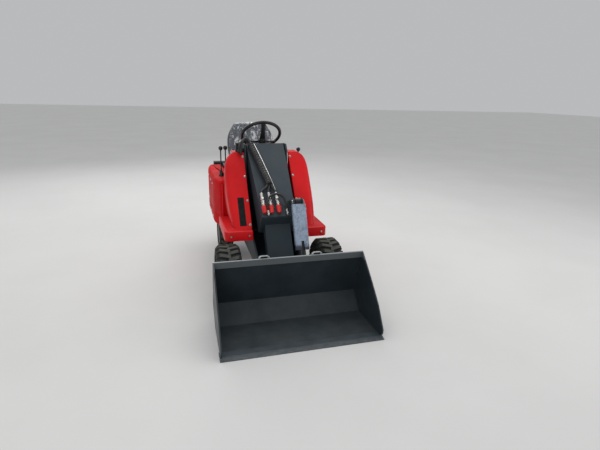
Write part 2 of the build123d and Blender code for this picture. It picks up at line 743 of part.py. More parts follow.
bundle_points = [over_top(-115, 1190, 20.5), over_top(-60, 1060, 20.5), over_top(2, 900, 20.5)]
hose_bundle = hose(bundle_points, 20.0, [120.0])
save("hose_bundle", hose_bundle)

coupler_rows = [
    # x, b of the lower end, length
    (-88.0, 745.0, 130.0),
    (-42.0, 745.0, 130.0),
    (8.0, 745.0, 130.0),
]
couplers, caps = [], []
for x, b, length in coupler_rows:
    line = Plane(origin=over_top(x, b, 15.3), x_dir=(1, 0, 0), z_dir=Vector(0, math.cos(slope), math.sin(slope)))
    couplers.append(line * extrude(Circle(13.0), length))
    caps.append(line * Pos(0, 0, -18) * extrude(Circle(15.0), 17.7))
save("quick_couplers", Compound(children=couplers))
save("coupler_caps", Compound(children=caps))
loop = [over_top(34, 840, 7.5), over_top(58, 790, 26), over_top(66, 735, 7.5)]
boom_hoses = hose(loop, 7.0, [40.0])
save("boom_hoses", boom_hoses)
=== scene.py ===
import json
import math
import random

import bmesh
import bpy
from bpy.props import FloatProperty, FloatVectorProperty, IntProperty, PointerProperty
from mathutils import Matrix, Vector, noise


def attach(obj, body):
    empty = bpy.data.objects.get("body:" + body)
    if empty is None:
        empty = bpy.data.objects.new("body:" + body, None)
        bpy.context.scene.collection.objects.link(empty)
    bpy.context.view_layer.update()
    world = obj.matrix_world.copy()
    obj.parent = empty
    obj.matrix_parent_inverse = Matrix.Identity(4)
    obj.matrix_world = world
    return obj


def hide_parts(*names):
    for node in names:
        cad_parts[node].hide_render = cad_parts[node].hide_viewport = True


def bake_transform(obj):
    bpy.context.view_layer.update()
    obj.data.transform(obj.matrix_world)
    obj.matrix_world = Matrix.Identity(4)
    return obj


bl_info = {
    "name": "Mini wheel loader",
    "version": (1, 0, 0),
    "blender": (4, 5, 0),
    "location": "3D View > Sidebar > Loader",
    "description": "Paint, hoses, seat, wheels and fittings of a mini wheel loader",
    "category": "Object",
}

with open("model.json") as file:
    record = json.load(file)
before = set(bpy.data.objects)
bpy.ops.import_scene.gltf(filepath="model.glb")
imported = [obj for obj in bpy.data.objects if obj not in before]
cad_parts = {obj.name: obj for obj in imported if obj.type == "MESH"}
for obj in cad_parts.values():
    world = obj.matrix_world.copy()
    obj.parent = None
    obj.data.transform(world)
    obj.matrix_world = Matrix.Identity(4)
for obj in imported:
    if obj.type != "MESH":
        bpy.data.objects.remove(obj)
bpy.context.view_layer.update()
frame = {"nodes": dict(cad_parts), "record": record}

# Places shared by the pieces, in metres.
# b runs back from the cutting edge's tip, s runs down the boom from the top of its face.
LENGTH = 2.15
FACE_B, FACE_H = 1.213, 1.006
SLOPE = math.atan2(0.372, 0.456)
OUT = Vector((0, -math.sin(SLOPE), math.cos(SLOPE)))
DOWN = Vector((0, -math.cos(SLOPE), -math.sin(SLOPE)))
ACROSS = Vector((1, 0, 0))
UP = Vector((0, 0, 1))
FORWARD = Vector((0, -1, 0))
COWL_B, COWL_H, COWL_LEAN = 0.820, 0.490, 0.370 / 0.475
COWL_OUT = Vector((0, -1, COWL_LEAN)).normalized()
COWL_DOWN = Vector((0, -COWL_LEAN, -1)).normalized()
COWL_IN, COWL_BACK = 0.172, 1.1997
TILT_X = 0.122
TILT_BASE, TILT_EYE = (0.700, 0.700), (0.500, 0.260)
LIFT_BASE, LIFT_EYE = (1.240, 0.340), (1.060, 0.780)
COUPLER_X = (-0.101, -0.050, 0.002)
COUPLER_S = 0.452
LIP_S = 0.6427
FRONT_AXLE, REAR_AXLE = (0.720, 0.205), (1.690, 0.180)
SIDES = ((-1, "right"), (1, "left"))
ON_AXIS = 1e-5  # radius that stands for a turned piece's end on its axis


def machine(x, b, h):
    """Point x beside the middle, b behind the cutting edge and h over the ground."""
    return Vector((x, b - LENGTH / 2, h))


def on_boom(x, s, lift):
    """Point s down the boom and lift over its top face."""
    return machine(x, FACE_B, FACE_H) + DOWN * s + OUT * lift


def on_cowl(x, h, lift=0.0):
    """Point on the cowl's sloping face at height h."""
    return machine(x, COWL_B + (h - COWL_H) * COWL_LEAN, h) + COWL_OUT * lift


class Form:
    """Vertices and faces of one piece, gathered before they become a mesh."""

    def __init__(self):
        self.verts = []
        self.faces = []

    def add(self, verts, faces):
        first = len(self.verts)
        self.verts.extend(verts)
        self.faces.extend(tuple(first + i for i in face) for face in faces)

    def rings(self, rings, closed=False):
        """Skin over rings of equally many points, capped unless it closes on itself."""
        count = len(rings[0])
        verts = [p for ring in rings for p in ring]
        faces = []
        last = len(rings) if closed else len(rings) - 1
        for i in range(last):
            k = (i + 1) % len(rings)
            for j in range(count):
                n = (j + 1) % count
                faces.append((i * count + j, i * count + n, k * count + n, k * count + j))
        if not closed:
            faces.append(tuple(range(count - 1, -1, -1)))
            faces.append(tuple((len(rings) - 1) * count + j for j in range(count)))
        self.add(verts, faces)

    def lathe(self, origin, axis, profile, sides=24, turn=0.0):
        """Turned piece: profile rows are radius and distance along the axis."""
        side, other = square_to(axis)
        spokes = [side * math.cos(a) + other * math.sin(a) for a in angles(sides, turn)]
        rings = []
        for radius, along in profile:
            centre = origin + axis * along
            rings.append([centre + spoke * max(radius, ON_AXIS) for spoke in spokes])
        self.rings(rings)

    def box(self, centre, sizes, axes=(ACROSS, Vector((0, 1, 0)), UP)):
        """Box from its centre, its three sizes and their directions."""
        halves = [axis * (size / 2) for axis, size in zip(axes, sizes)]
        verts = []
        for k in (-1, 1):
            for i, j in ((-1, -1), (1, -1), (1, 1), (-1, 1)):
                verts.append(centre + halves[0] * i + halves[1] * j + halves[2] * k)
        faces = [(3, 2, 1, 0), (4, 5, 6, 7), (0, 1, 5, 4), (1, 2, 6, 5), (2, 3, 7, 6), (3, 0, 4, 7)]
        self.add(verts, faces)

    def tube(self, points, radius, sides=14, shape=None):
        """Round tube along points. shape gives a radius from the ring's number and angle."""
        rings = []
        side = None
        for i, p in enumerate(points):
            ahead = points[min(i + 1, len(points) - 1)] - points[max(i - 1, 0)]
            ahead.normalize()
            if side is None:
                side = square_to(ahead)[0]
            side = (side - ahead * side.dot(ahead)).normalized()
            other = ahead.cross(side)
            ring = []
            for a in angles(sides):
                r = shape(i, a) if shape else radius
                ring.append(p + (side * math.cos(a) + other * math.sin(a)) * r)
            rings.append(ring)
        self.rings(rings)

    def bolt(self, at, normal, radius):
        """Six-sided bolt head on a washer."""
        rows = [(1.55, 0), (1.55, 0.25), (1.0, 0.3), (1.0, 0.95), (0.85, 1.15), (0, 1.2)]
        profile = [(r * radius, z * radius) for r, z in rows]
        self.lathe(at, normal, profile[:2], 16)
        self.lathe(at, normal, profile[2:], 6, at.x * 90)

    def dome(self, at, normal, radius):
        """Round-headed fastener on a washer."""
        profile = [(1.5, 0), (1.5, 0.2), (1.0, 0.25), (0.92, 0.55), (0.6, 0.85), (0, 0.95)]
        self.lathe(at, normal, [(r * radius, z * radius) for r, z in profile], 14)

    def bead(self, points, radius, seed):
        """Weld bead with ripples along a run of points."""
        run = spaced(points, radius * 0.55)
        rough = random.Random(seed)
        swell = [rough.uniform(0.88, 1.1) for _ in run]

        def ripple(i, angle):
            edge = 0.35 if i in (0, len(run) - 1) else 1.0
            return radius * edge * swell[i] * (1.0 + 0.13 * math.cos(i * 2.1))

        self.tube(run, radius, 8, ripple)

    def piece(self, name, body, material, slot, smooth=35.0, bevel=0.0):
        """Makes the mesh object, gives it its material and lets it ride on a body."""
        mesh = bpy.data.meshes.new(name)
        mesh.from_pydata([tuple(v) for v in self.verts], [], self.faces)
        mesh.validate()
        bm = bmesh.new()
        bm.from_mesh(mesh)
        bmesh.ops.recalc_face_normals(bm, faces=bm.faces)
        bm.to_mesh(mesh)
        bm.free()
        obj = bpy.data.objects.new(name, mesh)
        bpy.context.scene.collection.objects.link(obj)
        mesh.materials.append(finish(material))
        mesh.shade_smooth()
        mesh.set_sharp_from_angle(angle=math.radians(smooth))
        if bevel:
            soften(obj, bevel, 30)
        if body:
            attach(obj, body)
        return obj


def angles(count, start=0.0):
    """Evenly spaced angles once round a circle."""
    return [start + 2 * math.pi * i / count for i in range(count)]


def square_to(axis):
    """Two directions square to axis and to each other."""
    guide = ACROSS if abs(axis.normalized().x) < 0.9 else UP
    side = (guide - axis * guide.dot(axis) / axis.length_squared).normalized()
    return side, axis.normalized().cross(side)


def spaced(points, step):
    """Points about step apart along straight runs."""
    out = [points[0].copy()]
    for p, q in zip(points, points[1:]):
        count = max(1, round((q - p).length / step))
        out.extend(p.lerp(q, i / count) for i in range(1, count + 1))
    return out


def flowing(points, count):
    """Smooth line guided by points, which starts and ends on the first and last."""
    spans = len(points) - 2
    knots = [0.0] * 3 + [float(i) for i in range(1, spans)] + [float(spans)] * 3

    def basis(i, k, t):
        if k == 0:
            return 1.0 if knots[i] <= t < knots[i + 1] else 0.0
        left = knots[i + k] - knots[i]
        right = knots[i + k + 1] - knots[i + 1]
        value = (t - knots[i]) / left * basis(i, k - 1, t) if left else 0.0
        if right:
            value += (knots[i + k + 1] - t) / right * basis(i + 1, k - 1, t)
        return value

    end = knots[-1]
    line = []
    for n in range(count + 1):
        t = min(end * n / count, end - 1e-9)
        line.append(sum((p * basis(i, 2, t) for i, p in enumerate(points)), Vector()))
    return line


def plan_outline(corners):
    """Outline in plan from rows of x, b and corner radius."""
    outline = []
    steps = 6
    for i, (x, b, radius) in enumerate(corners):
        here = Vector((x, b))
        before = Vector(corners[i - 1][:2]) - here
        after = Vector(corners[(i + 1) % len(corners)][:2]) - here
        if not radius:
            outline.append(here)
            continue
        longest = min(before.length, after.length) * 0.49
        cut = min(radius / math.tan(before.angle(after) / 2), longest)
        start, end = here + before.normalized() * cut, here + after.normalized() * cut
        for k in range(steps + 1):
            t = k / steps
            outline.append(start * (1 - t) ** 2 + here * 2 * t * (1 - t) + end * t * t)
    return outline


def drawn_in(outline, distance):
    """Outline moved inwards by a distance."""
    following = outline[1:] + outline[:1]
    turn = 1 if sum(p.x * q.y - q.x * p.y for p, q in zip(outline, following)) > 0 else -1
    moved = []
    for before, here, after in zip(outline[-1:] + outline[:-1], outline, following):
        ahead = (after - before).normalized()
        moved.append(here + Vector((-ahead.y, ahead.x)) * distance * turn)
    return moved


def ring_at(outline, h, side, distance=0.0):
    """Ring of points at height h over an outline in plan, on the machine's left (1) or right (-1)."""
    return [machine(side * p.x, p.y, h) for p in drawn_in(outline, distance)]


def soften(obj, width, angle):
    """Small round along sharp edges."""
    bevel = obj.modifiers.new("soft_edge", "BEVEL")
    bevel.width = width
    bevel.segments = 2
    bevel.limit_method = "ANGLE"
    bevel.angle_limit = math.radians(angle)
    bevel.harden_normals = True
    bevel.use_clamp_overlap = True


# Materials


class Recipe:
    """Node helper for one material."""

    def __init__(self, name):
        self.material = bpy.data.materials.new(name)
        self.material.use_nodes = True
        self.tree = self.material.node_tree
        self.shader = self.tree.nodes["Principled BSDF"]
        self.coords = self.tree.nodes.new("ShaderNodeTexCoord").outputs["Object"]

    def node(self, kind, **inputs):
        """New node. Inputs go by their name, or by i and their number."""
        made = self.tree.nodes.new(kind)
        for key, value in inputs.items():
            numbered = key[0] == "i" and key[1:].isdigit()
            self.put(made.inputs[int(key[1:]) if numbered else key], value)
        return made

    def put(self, socket, value):
        """Links a socket to another, or sets it to a number or colour."""
        if isinstance(value, bpy.types.NodeSocket):
            self.tree.links.new(value, socket)
        else:
            socket.default_value = value

    def stretched(self, x, y, z):
        """Place on the piece with its axes stretched."""
        made = self.node("ShaderNodeMapping", Vector=self.coords)
        made.inputs["Scale"].default_value = (x, y, z)
        return made.outputs["Vector"]

    def cloud(self, scale, detail, rough=0.6, where=None, warp=0.0):
        """Noise between 0 and 1."""
        made = self.node("ShaderNodeTexNoise", Vector=where or self.coords, Scale=scale, Detail=detail)
        made.inputs["Roughness"].default_value = rough
        made.inputs["Distortion"].default_value = warp
        return made.outputs["Fac"]

    def ramp(self, value, low, high, out_low=0.0, out_high=1.0):
        """Smooth step from out_low to out_high while value goes from low to high."""
        made = self.node("ShaderNodeMapRange", Value=value)
        made.interpolation_type = "SMOOTHSTEP"
        ends = (("From Min", low), ("From Max", high), ("To Min", out_low), ("To Max", out_high))
        for key, number in ends:
            made.inputs[key].default_value = number
        return made.outputs["Result"]

    def math(self, kind, a, b=0.0):
        made = self.tree.nodes.new("ShaderNodeMath")
        made.operation = kind
        self.put(made.inputs[0], a)
        self.put(made.inputs[1], b)
        return made.outputs[0]

    def mix(self, share, a, b):
        """Colour a with a share of colour b."""
        made = self.tree.nodes.new("ShaderNodeMix")
        made.data_type = "RGBA"
        self.put(made.inputs["Factor"], share)
        self.put(made.inputs[6], rgba(a))
        self.put(made.inputs[7], rgba(b))
        return made.outputs[2]

    def facing_up(self):
        """How far the surface faces upwards."""
        normal = self.tree.nodes.new("ShaderNodeNewGeometry").outputs["Normal"]
        return self.node("ShaderNodeSeparateXYZ", Vector=normal).outputs["Z"]

    def parts(self):
        """X, Y and Z of the place on the piece."""
        return self.node("ShaderNodeSeparateXYZ", Vector=self.coords).outputs

    def bump(self, height, strength, distance, under=None):
        """Bumped normal, on top of the one given under it."""
        made = self.node("ShaderNodeBump", Height=height, Strength=strength, Distance=distance)
        if under:
            self.put(made.inputs["Normal"], under)
        return made.outputs["Normal"]

    def set(self, **values):
        """Sets the shader's inputs and gives the material."""
        for key, value in values.items():
            self.put(self.shader.inputs[key.replace("_", " ")], value)
        return self.material


def rgba(colour):
    """Colour with an alpha, or a socket as it is."""
    if isinstance(colour, bpy.types.NodeSocket) or len(colour) == 4:
        return colour
    return (*colour, 1.0)


def shade(colour, amount):
    """Lighter or darker colour."""
    return tuple(min(1.0, c * amount) for c in colour[:3])


def enamel(
    name, colour, rough, coat, dust, dust_and_light_colour=(0.16, 0.155, 0.145), peel=0.05, scuffs=0.12, shine=0.15
):
    """Sprayed paint with orange peel, faint streaks, fine scuffs, and dust with painted light from above on
    what faces up.
    """
    r = Recipe(name)
    patches = r.ramp(r.cloud(3.1, 5), 0.32, 0.7)
    base = r.mix(patches, shade(colour, 0.86), shade(colour, 1.12))
    streak = r.cloud(16, 3, where=r.stretched(3.0, 3.0, 0.35))
    base = r.mix(r.ramp(streak, 0.6, 0.78, 0, 0.12), base, shade(colour, 1.4))
    fine = r.ramp(r.cloud(60, 6, 0.75, where=r.stretched(6.0, 1.0, 1.2), warp=0.6), 0.66, 0.76, 0, scuffs)
    base = r.mix(fine, base, shade(dust_and_light_colour, 1.3))
    # Paler where the paint faces up: dust, and painted light from above.
    top = r.ramp(r.facing_up(), 0.15, 0.95)
    paler_on_top = r.math("MULTIPLY", top, r.ramp(r.cloud(9, 8, 0.7), 0.3, 0.72, dust * 0.35, dust))
    base = r.mix(paler_on_top, base, dust_and_light_colour)
    gloss = r.ramp(r.cloud(7, 6), 0.25, 0.75, rough * 0.82, min(1.0, rough * 1.22))
    gloss = r.math("ADD", gloss, r.math("MULTIPLY", paler_on_top, 0.35))
    skin = r.bump(r.cloud(420, 2), peel, 0.0006)
    skin = r.bump(r.cloud(11, 3), peel * 1.4, 0.004, skin)
    r.set(Base_Color=base, Roughness=gloss, Normal=skin, Specular_IOR_Level=shine)
    return r.set(Coat_Weight=coat, Coat_Roughness=0.12)


def bare_metal(name, colour, rough, grain, dirt):
    """Bare metal with drawn grain and grime in patches."""
    r = Recipe(name)
    lines = r.cloud(90, 5, 0.7, where=r.stretched(*grain))
    grime = r.ramp(r.cloud(14, 7, 0.7), 0.46, 0.74, 0, dirt)
    base = r.mix(r.ramp(lines, 0.3, 0.7), shade(colour, 0.75), shade(colour, 1.15))
    base = r.mix(grime, base, (0.035, 0.033, 0.03))
    polish = r.ramp(lines, 0.2, 0.8, rough * 0.75, rough * 1.25)
    gloss = r.math("ADD", polish, r.math("MULTIPLY", grime, 0.4))
    return r.set(Base_Color=base, Roughness=gloss, Metallic=1.0, Normal=r.bump(lines, 0.12, 0.0004))


def moulded(name, colour, rough, grain=260.0, strength=0.12, dust=0.2):
    """Moulded plastic or rubber with a fine grain and a little dust."""
    r = Recipe(name)
    base = r.mix(r.ramp(r.cloud(18, 5), 0.3, 0.7), shade(colour, 0.8), shade(colour, 1.25))
    top = r.ramp(r.facing_up(), 0.1, 1.0, 0, dust)
    paler_on_top = r.math("MULTIPLY", top, r.ramp(r.cloud(25, 7, 0.7), 0.35, 0.7))
    base = r.mix(paler_on_top, base, (0.2, 0.19, 0.175))
    gloss = r.ramp(r.cloud(30, 4), 0.3, 0.7, rough * 0.85, min(1.0, rough * 1.15))
    return r.set(Base_Color=base, Roughness=gloss, Normal=r.bump(r.cloud(grain, 3), strength, 0.0008))


def galvanised(name, colour, dark, tip_h):
    """Hot-dip zinc in mottled spangles, stained dark towards the fork's tips."""
    r = Recipe(name)
    spangle = r.node("ShaderNodeTexVoronoi", Vector=r.coords, Scale=95.0)
    flakes = r.ramp(spangle.outputs["Color"], 0.1, 0.9)
    cloudy = r.ramp(r.cloud(34, 7, 0.75), 0.34, 0.68)
    base = r.mix(flakes, shade(colour, 0.78), shade(colour, 1.22))
    base = r.mix(r.math("MULTIPLY", cloudy, 0.55), base, shade(colour, 1.5))
    specks = r.ramp(r.cloud(120, 3), 0.6, 0.7, 0, 0.5)
    base = r.mix(specks, base, dark)
    uneven = r.math("ADD", r.parts()["Z"], r.ramp(r.cloud(40, 4), 0, 1, -0.02, 0.02))
    base = r.mix(r.ramp(uneven, tip_h, tip_h + 0.03, 0.9, 0), base, dark)
    gloss = r.ramp(flakes, 0, 1, 0.38, 0.6)
    return r.set(Base_Color=base, Roughness=gloss, Metallic=0.35, Normal=r.bump(cloudy, 0.2, 0.0006))


def tyre_rubber(name, colour, dusty, axle_b, axle_h):
    """Rubber whose lug tops, an axle height from the axle, are paler with dust than the rest."""
    r = Recipe(name)
    spot = r.node("ShaderNodeVectorMath", i0=r.coords, i1=(0.0, axle_b - LENGTH / 2, axle_h))
    spot.operation = "SUBTRACT"
    flat = r.node("ShaderNodeVectorMath", i0=spot.outputs[0], i1=(0.0, 1.0, 1.0))
    flat.operation = "MULTIPLY"
    reach = r.node("ShaderNodeVectorMath", i0=flat.outputs[0])
    reach.operation = "LENGTH"
    lug = r.ramp(reach.outputs["Value"], axle_h - 0.011, axle_h - 0.001)
    patchy = r.ramp(r.cloud(22, 8, 0.7), 0.3, 0.72)
    base = r.mix(patchy, shade(colour, 0.75), shade(colour, 1.35))
    base = r.mix(r.math("MULTIPLY", lug, r.ramp(patchy, 0, 1, 0.55, 1.0)), base, dusty)
    base = r.mix(r.ramp(r.cloud(130, 4), 0.56, 0.72, 0, 0.35), base, shade(dusty, 1.2))
    skin = r.bump(r.cloud(150, 6, 0.7), 0.22, 0.0012)
    return r.set(Base_Color=base, Roughness=0.82, Specular_IOR_Level=0.32, Normal=skin)


def vinyl(name, colour):
    """Grained seat vinyl."""
    r = Recipe(name)
    cells = r.node("ShaderNodeTexVoronoi", Vector=r.coords, Scale=520.0).outputs["Distance"]
    base = r.mix(r.ramp(r.cloud(8, 5), 0.3, 0.7), shade(colour, 0.85), shade(colour, 1.15))
    gloss = r.ramp(r.cloud(24, 4), 0.3, 0.7, 0.42, 0.6)
    skin = r.bump(cells, 0.25, 0.0005)
    return r.set(Base_Color=base, Roughness=gloss, Normal=r.bump(r.cloud(30, 5), 0.25, 0.003, skin))


def film(name):
    """Clear wrinkled wrapping with painted highlights: whiter where its folds bunch up and along the back's
    sides.
    """
    r = Recipe(name)
    folds = r.cloud(15, 7, 0.72, where=r.stretched(1.0, 1.0, 0.55), warp=1.3)
    # Opacity of the whitish film: painted highlights on its folds.
    film_highlights = r.ramp(folds, 0.5, 0.62, 0.1, 0.72)
    # Painted highlight along the back's sides.
    edge = r.ramp(r.math("ABSOLUTE", r.parts()["X"]), 0.15, 0.2, 0, 0.35)
    film_highlights = r.math("MAXIMUM", film_highlights, r.math("MULTIPLY", edge, r.ramp(folds, 0.4, 0.55)))
    tone = r.mix(r.ramp(folds, 0.4, 0.7), (0.62, 0.65, 0.7), (0.93, 0.95, 0.98))
    skin = r.bump(folds, 0.9, 0.008)
    skin = r.bump(r.cloud(85, 5, 0.7, warp=0.8), 0.5, 0.003, skin)
    return r.set(Base_Color=tone, Alpha=film_highlights, Roughness=0.16, Normal=skin, Specular_IOR_Level=0.7)


def bucket_enamel(name, colour, dust_and_light_colour):
    """Bucket paint, rubbed along its floor, with dust and painted light where it faces up, and a painted
    highlight along its top flange.
    """
    r = Recipe(name)
    patches = r.ramp(r.cloud(4.2, 6, 0.65), 0.3, 0.7)
    base = r.mix(patches, shade(colour, 0.78), shade(colour, 1.2))
    rub = r.cloud(30, 6, 0.75, where=r.stretched(0.5, 3.5, 3.5), warp=0.4)
    base = r.mix(r.ramp(rub, 0.58, 0.74, 0, 0.3), base, shade(colour, 2.2))
    # Paler where it faces up: dust, and painted light from above.
    top = r.ramp(r.facing_up(), 0.2, 0.98)
    paler_on_top = r.math("MULTIPLY", top, r.ramp(r.cloud(6, 8, 0.7), 0.28, 0.72, 0.16, 0.42))
    base = r.mix(paler_on_top, base, dust_and_light_colour)
    # Painted highlight with some dust: paler flange front from z 0.39, much paler top edge from z 0.4305.
    rim = r.ramp(r.parts()["Z"], 0.39, 0.394, 0, 0.55)
    base = r.mix(rim, base, shade(dust_and_light_colour, 1.35))
    rim = r.ramp(r.parts()["Z"], 0.4305, 0.4325, 0, 0.75)
    base = r.mix(rim, base, shade(dust_and_light_colour, 3.4))
    gloss = r.math("ADD", r.ramp(r.cloud(9, 6), 0.25, 0.75, 0.3, 0.46), r.math("MULTIPLY", paler_on_top, 0.5))
    skin = r.bump(r.cloud(380, 2), 0.06, 0.0006)
    skin = r.bump(r.cloud(7, 3), 0.12, 0.005, skin)
    r.set(Base_Color=base, Roughness=gloss, Normal=skin, Specular_IOR_Level=0.3)
    return r.set(Coat_Weight=0.08, Coat_Roughness=0.25)


def worn_edge(name, paint, steel):
    """Cutting edge: paint scraped to steel along its tip and at its ends."""
    r = Recipe(name)
    place = r.parts()
    tip = r.ramp(place["Y"], -LENGTH / 2 + 0.002, -LENGTH / 2 + 0.03, 0.3, 0.04)
    ends = r.ramp(r.math("ABSOLUTE", place["X"]), 0.478, 0.489, 0, 0.9)
    scrape = r.ramp(r.cloud(45, 8, 0.75, where=r.stretched(0.5, 1.6, 1.0), warp=0.5), 0.42, 0.64)
    share = r.math("MULTIPLY", r.math("MAXIMUM", tip, ends), scrape)
    base = r.mix(r.ramp(r.cloud(12, 6), 0.3, 0.7), shade(paint, 1.3), shade(paint, 1.9))
    base = r.mix(share, base, steel)
    gloss = r.ramp(share, 0, 1, 0.5, 0.34)
    metal = r.ramp(share, 0, 1, 0.0, 0.8)
    return r.set(Base_Color=base, Roughness=gloss, Metallic=metal, Normal=r.bump(scrape, 0.2, 0.0008))


def tread_plate(name, colour):
    """Painted floor plate with raised bars in two directions."""
    r = Recipe(name)
    waves = []
    for x, y in ((1.0, 1.0), (1.0, -1.0)):
        turned = r.node("ShaderNodeMapping", Vector=r.coords)
        turned.inputs["Rotation"].default_value = (0, 0, math.atan2(y, x))
        turned.inputs["Scale"].default_value = (26.0, 70.0, 1.0)
        cells = r.node("ShaderNodeTexVoronoi", Vector=turned.outputs["Vector"], Scale=1.0, Randomness=0.0)
        waves.append(r.ramp(cells.outputs["Distance"], 0.18, 0.3, 1, 0))
    bars = r.math("MAXIMUM", waves[0], waves[1])
    base = r.mix(r.math("MULTIPLY", bars, 0.5), colour, shade(colour, 2.0))
    base = r.mix(r.ramp(r.cloud(15, 7, 0.7), 0.45, 0.7, 0, 0.45), base, (0.17, 0.16, 0.15))
    return r.set(Base_Color=base, Roughness=0.58, Normal=r.bump(bars, 0.6, 0.0015))


def plain_floor(name, colour):
    """Matt floor with faint patches."""
    r = Recipe(name)
    base = r.mix(r.ramp(r.cloud(0.8, 5), 0.3, 0.7), shade(colour, 0.97), shade(colour, 1.02))
    return r.set(Base_Color=base, Roughness=0.75, Specular_IOR_Level=0.25)


MADE = {}


def finish(name):
    """Material by its finish name, made on first use."""
    if name in MADE:
        return MADE[name]
    look = bpy.context.scene.loader_look
    red, dark, grey = look.red[:], look.dark[:], look.bucket[:]
    # Dust colours, also used for the painted light on what faces up and for the bucket's flange highlight.
    red_dust_and_light, rubber = (0.5, 0.2, 0.18), (0.02, 0.021, 0.019)
    makers = {
        "red_enamel": lambda: enamel(name, red, 0.38, 0.06, 0.03, red_dust_and_light, 0.04, 0.03),
        # Darker, duller copy of the body red: painted shade on the pods.
        "shaded_pod_enamel": lambda: enamel(name, shade(red, 0.85), 0.5, 0.0, 0.02, red_dust_and_light, 0.04, 0.03, 0.04),
        "dark_enamel": lambda: enamel(name, dark, 0.45, 0.05, 0.03),
        "barrel_enamel": lambda: enamel(name, (0.018, 0.02, 0.022), 0.38, 0.2, 0.15),
        "bucket_enamel": lambda: bucket_enamel(name, grey, (0.088, 0.098, 0.102)),
        "worn_edge": lambda: worn_edge(name, grey, (0.2, 0.2, 0.195)),
        "iron": lambda: enamel(name, (0.022, 0.024, 0.027), 0.6, 0.05, 0.5, peel=0.25),
        "rim_enamel": lambda: enamel(name, look.rim[:], 0.42, 0.2, 0.45),
        "vinyl": lambda: vinyl(name, look.seat[:]),
        "black_plastic": lambda: moulded(name, (0.012, 0.012, 0.013), 0.42),
        "black_grip": lambda: moulded(name, (0.009, 0.009, 0.01), 0.34, 190, 0.2, 0.08),
        # Near-black for the shade inside the ears' openings and the air slot: painted shade.
        "shade_black": lambda: moulded(name, (0.004, 0.005, 0.005), 0.8, 200, 0.1, 0.0),
        "hose": lambda: moulded(name, (0.014, 0.014, 0.015), 0.5, 600, 0.15, 0.3),
        "hose_wrap": lambda: moulded(name, (0.02, 0.02, 0.022), 0.36, 240, 0.1, 0.25),
        "chrome": lambda: bare_metal(name, (0.78, 0.78, 0.8), 0.12, (1, 1, 8), 0.08),
        "zinc": lambda: bare_metal(name, (0.72, 0.71, 0.68), 0.28, (3, 3, 1), 0.3),
        "ferrule": lambda: bare_metal(name, (0.8, 0.79, 0.76), 0.22, (2, 2, 6), 0.2),
        "cap": lambda: moulded(name, look.cap[:], 0.38, 300, 0.08, 0.12),
        "galvanised": lambda: galvanised(name, look.zinc[:], (0.03, 0.026, 0.045), 0.425),
        "front_rubber": lambda: tyre_rubber(name, rubber, look.tread[:], *FRONT_AXLE),
        "rear_rubber": lambda: tyre_rubber(name, rubber, look.tread[:], *REAR_AXLE),
        "tread_plate": lambda: tread_plate(name, shade(dark, 0.8)),
        "film": lambda: film(name),
        "floor": lambda: plain_floor(name, look.floor[:]),
    }
    MADE[name] = makers[name]()
    return MADE[name]


# Which finish each slot of the frame takes, and how far its sharp edges are softened
SLOT_FINISH = {
    "red_paint": ("red_enamel", 0.0022),
    "dark_paint": ("dark_enamel", 0.0012),
    "bucket_paint": ("bucket_enamel", 0.0012),
    "edge_steel": ("worn_edge", 0.0008),
    "cast_iron": ("iron", 0.003),
    "seat_vinyl": ("vinyl", 0.0),
    "black_plastic": ("black_plastic", 0.0012),
    "hose_rubber": ("hose", 0.0),
    "bright_steel": ("chrome", 0.0006),
    "cap_red": ("cap", 0.001),
    "barrel_paint": ("barrel_enamel", 0.001),
    "galvanised": ("galvanised", 0.0008),
    "tyre_rubber": ("front_rubber", 0.0015),
    "rim_paint": ("rim_enamel", 0.001),
}
NODE_FINISH = {
    "rear_tyre_left": "rear_rubber",
    "rear_tyre_right": "rear_rubber",
    "floor_plate": "tread_plate",
    "quick_couplers": "ferrule",
    "steering_rod": "chrome",
}


def colour_property(name, description, default):
    return FloatVectorProperty(
        name=name, description=description, subtype="COLOR", default=default, min=0, max=1
    )


def radius_property(name, description, default, low, high):
    return FloatProperty(
        name=name, description=description, default=default, min=low, max=high, unit="LENGTH"
    )


class LoaderLook(bpy.types.PropertyGroup):
    """Sizes and colours of the loader's looks."""

    red: colour_property("Body red", "Paint of the cowls, fenders and pods", (0.58, 0.006, 0.009))
    dark: colour_property("Boom grey", "Paint of the boom, tower and chassis", (0.034, 0.047, 0.057))
    bucket: colour_property("Bucket grey", "Paint of the bucket and its hitch", (0.02, 0.028, 0.034))
    rim: colour_property("Rim grey", "Paint of the wheel rims", (0.3, 0.3, 0.29))
    seat: colour_property("Seat grey", "Vinyl of the seat", (0.055, 0.062, 0.075))
    cap: colour_property("Cap red", "Dust caps on the couplers", (0.6, 0.02, 0.018))
    zinc: colour_property("Zinc grey", "Galvanised guard", (0.27, 0.33, 0.42))
    tread: colour_property("Tread dust", "Dusty tops of the tyres' bars", (0.075, 0.076, 0.066))
    floor: colour_property("Floor", "Plain floor under the loader", (0.6, 0.595, 0.585))
    hose_radius: radius_property("Hose radius", "Radius of one hydraulic hose", 0.008, 0.004, 0.012)
    bolt_radius: radius_property("Bolt radius", "Radius of the panel bolts' heads", 0.0062, 0.003, 0.012)
    weld_radius: radius_property("Weld radius", "Radius of the weld beads", 0.0032, 0.001, 0.006)
    slot_slats: IntProperty(
        name="Slot slats", description="Slats in the air slot", default=16, min=4, max=30,
    )


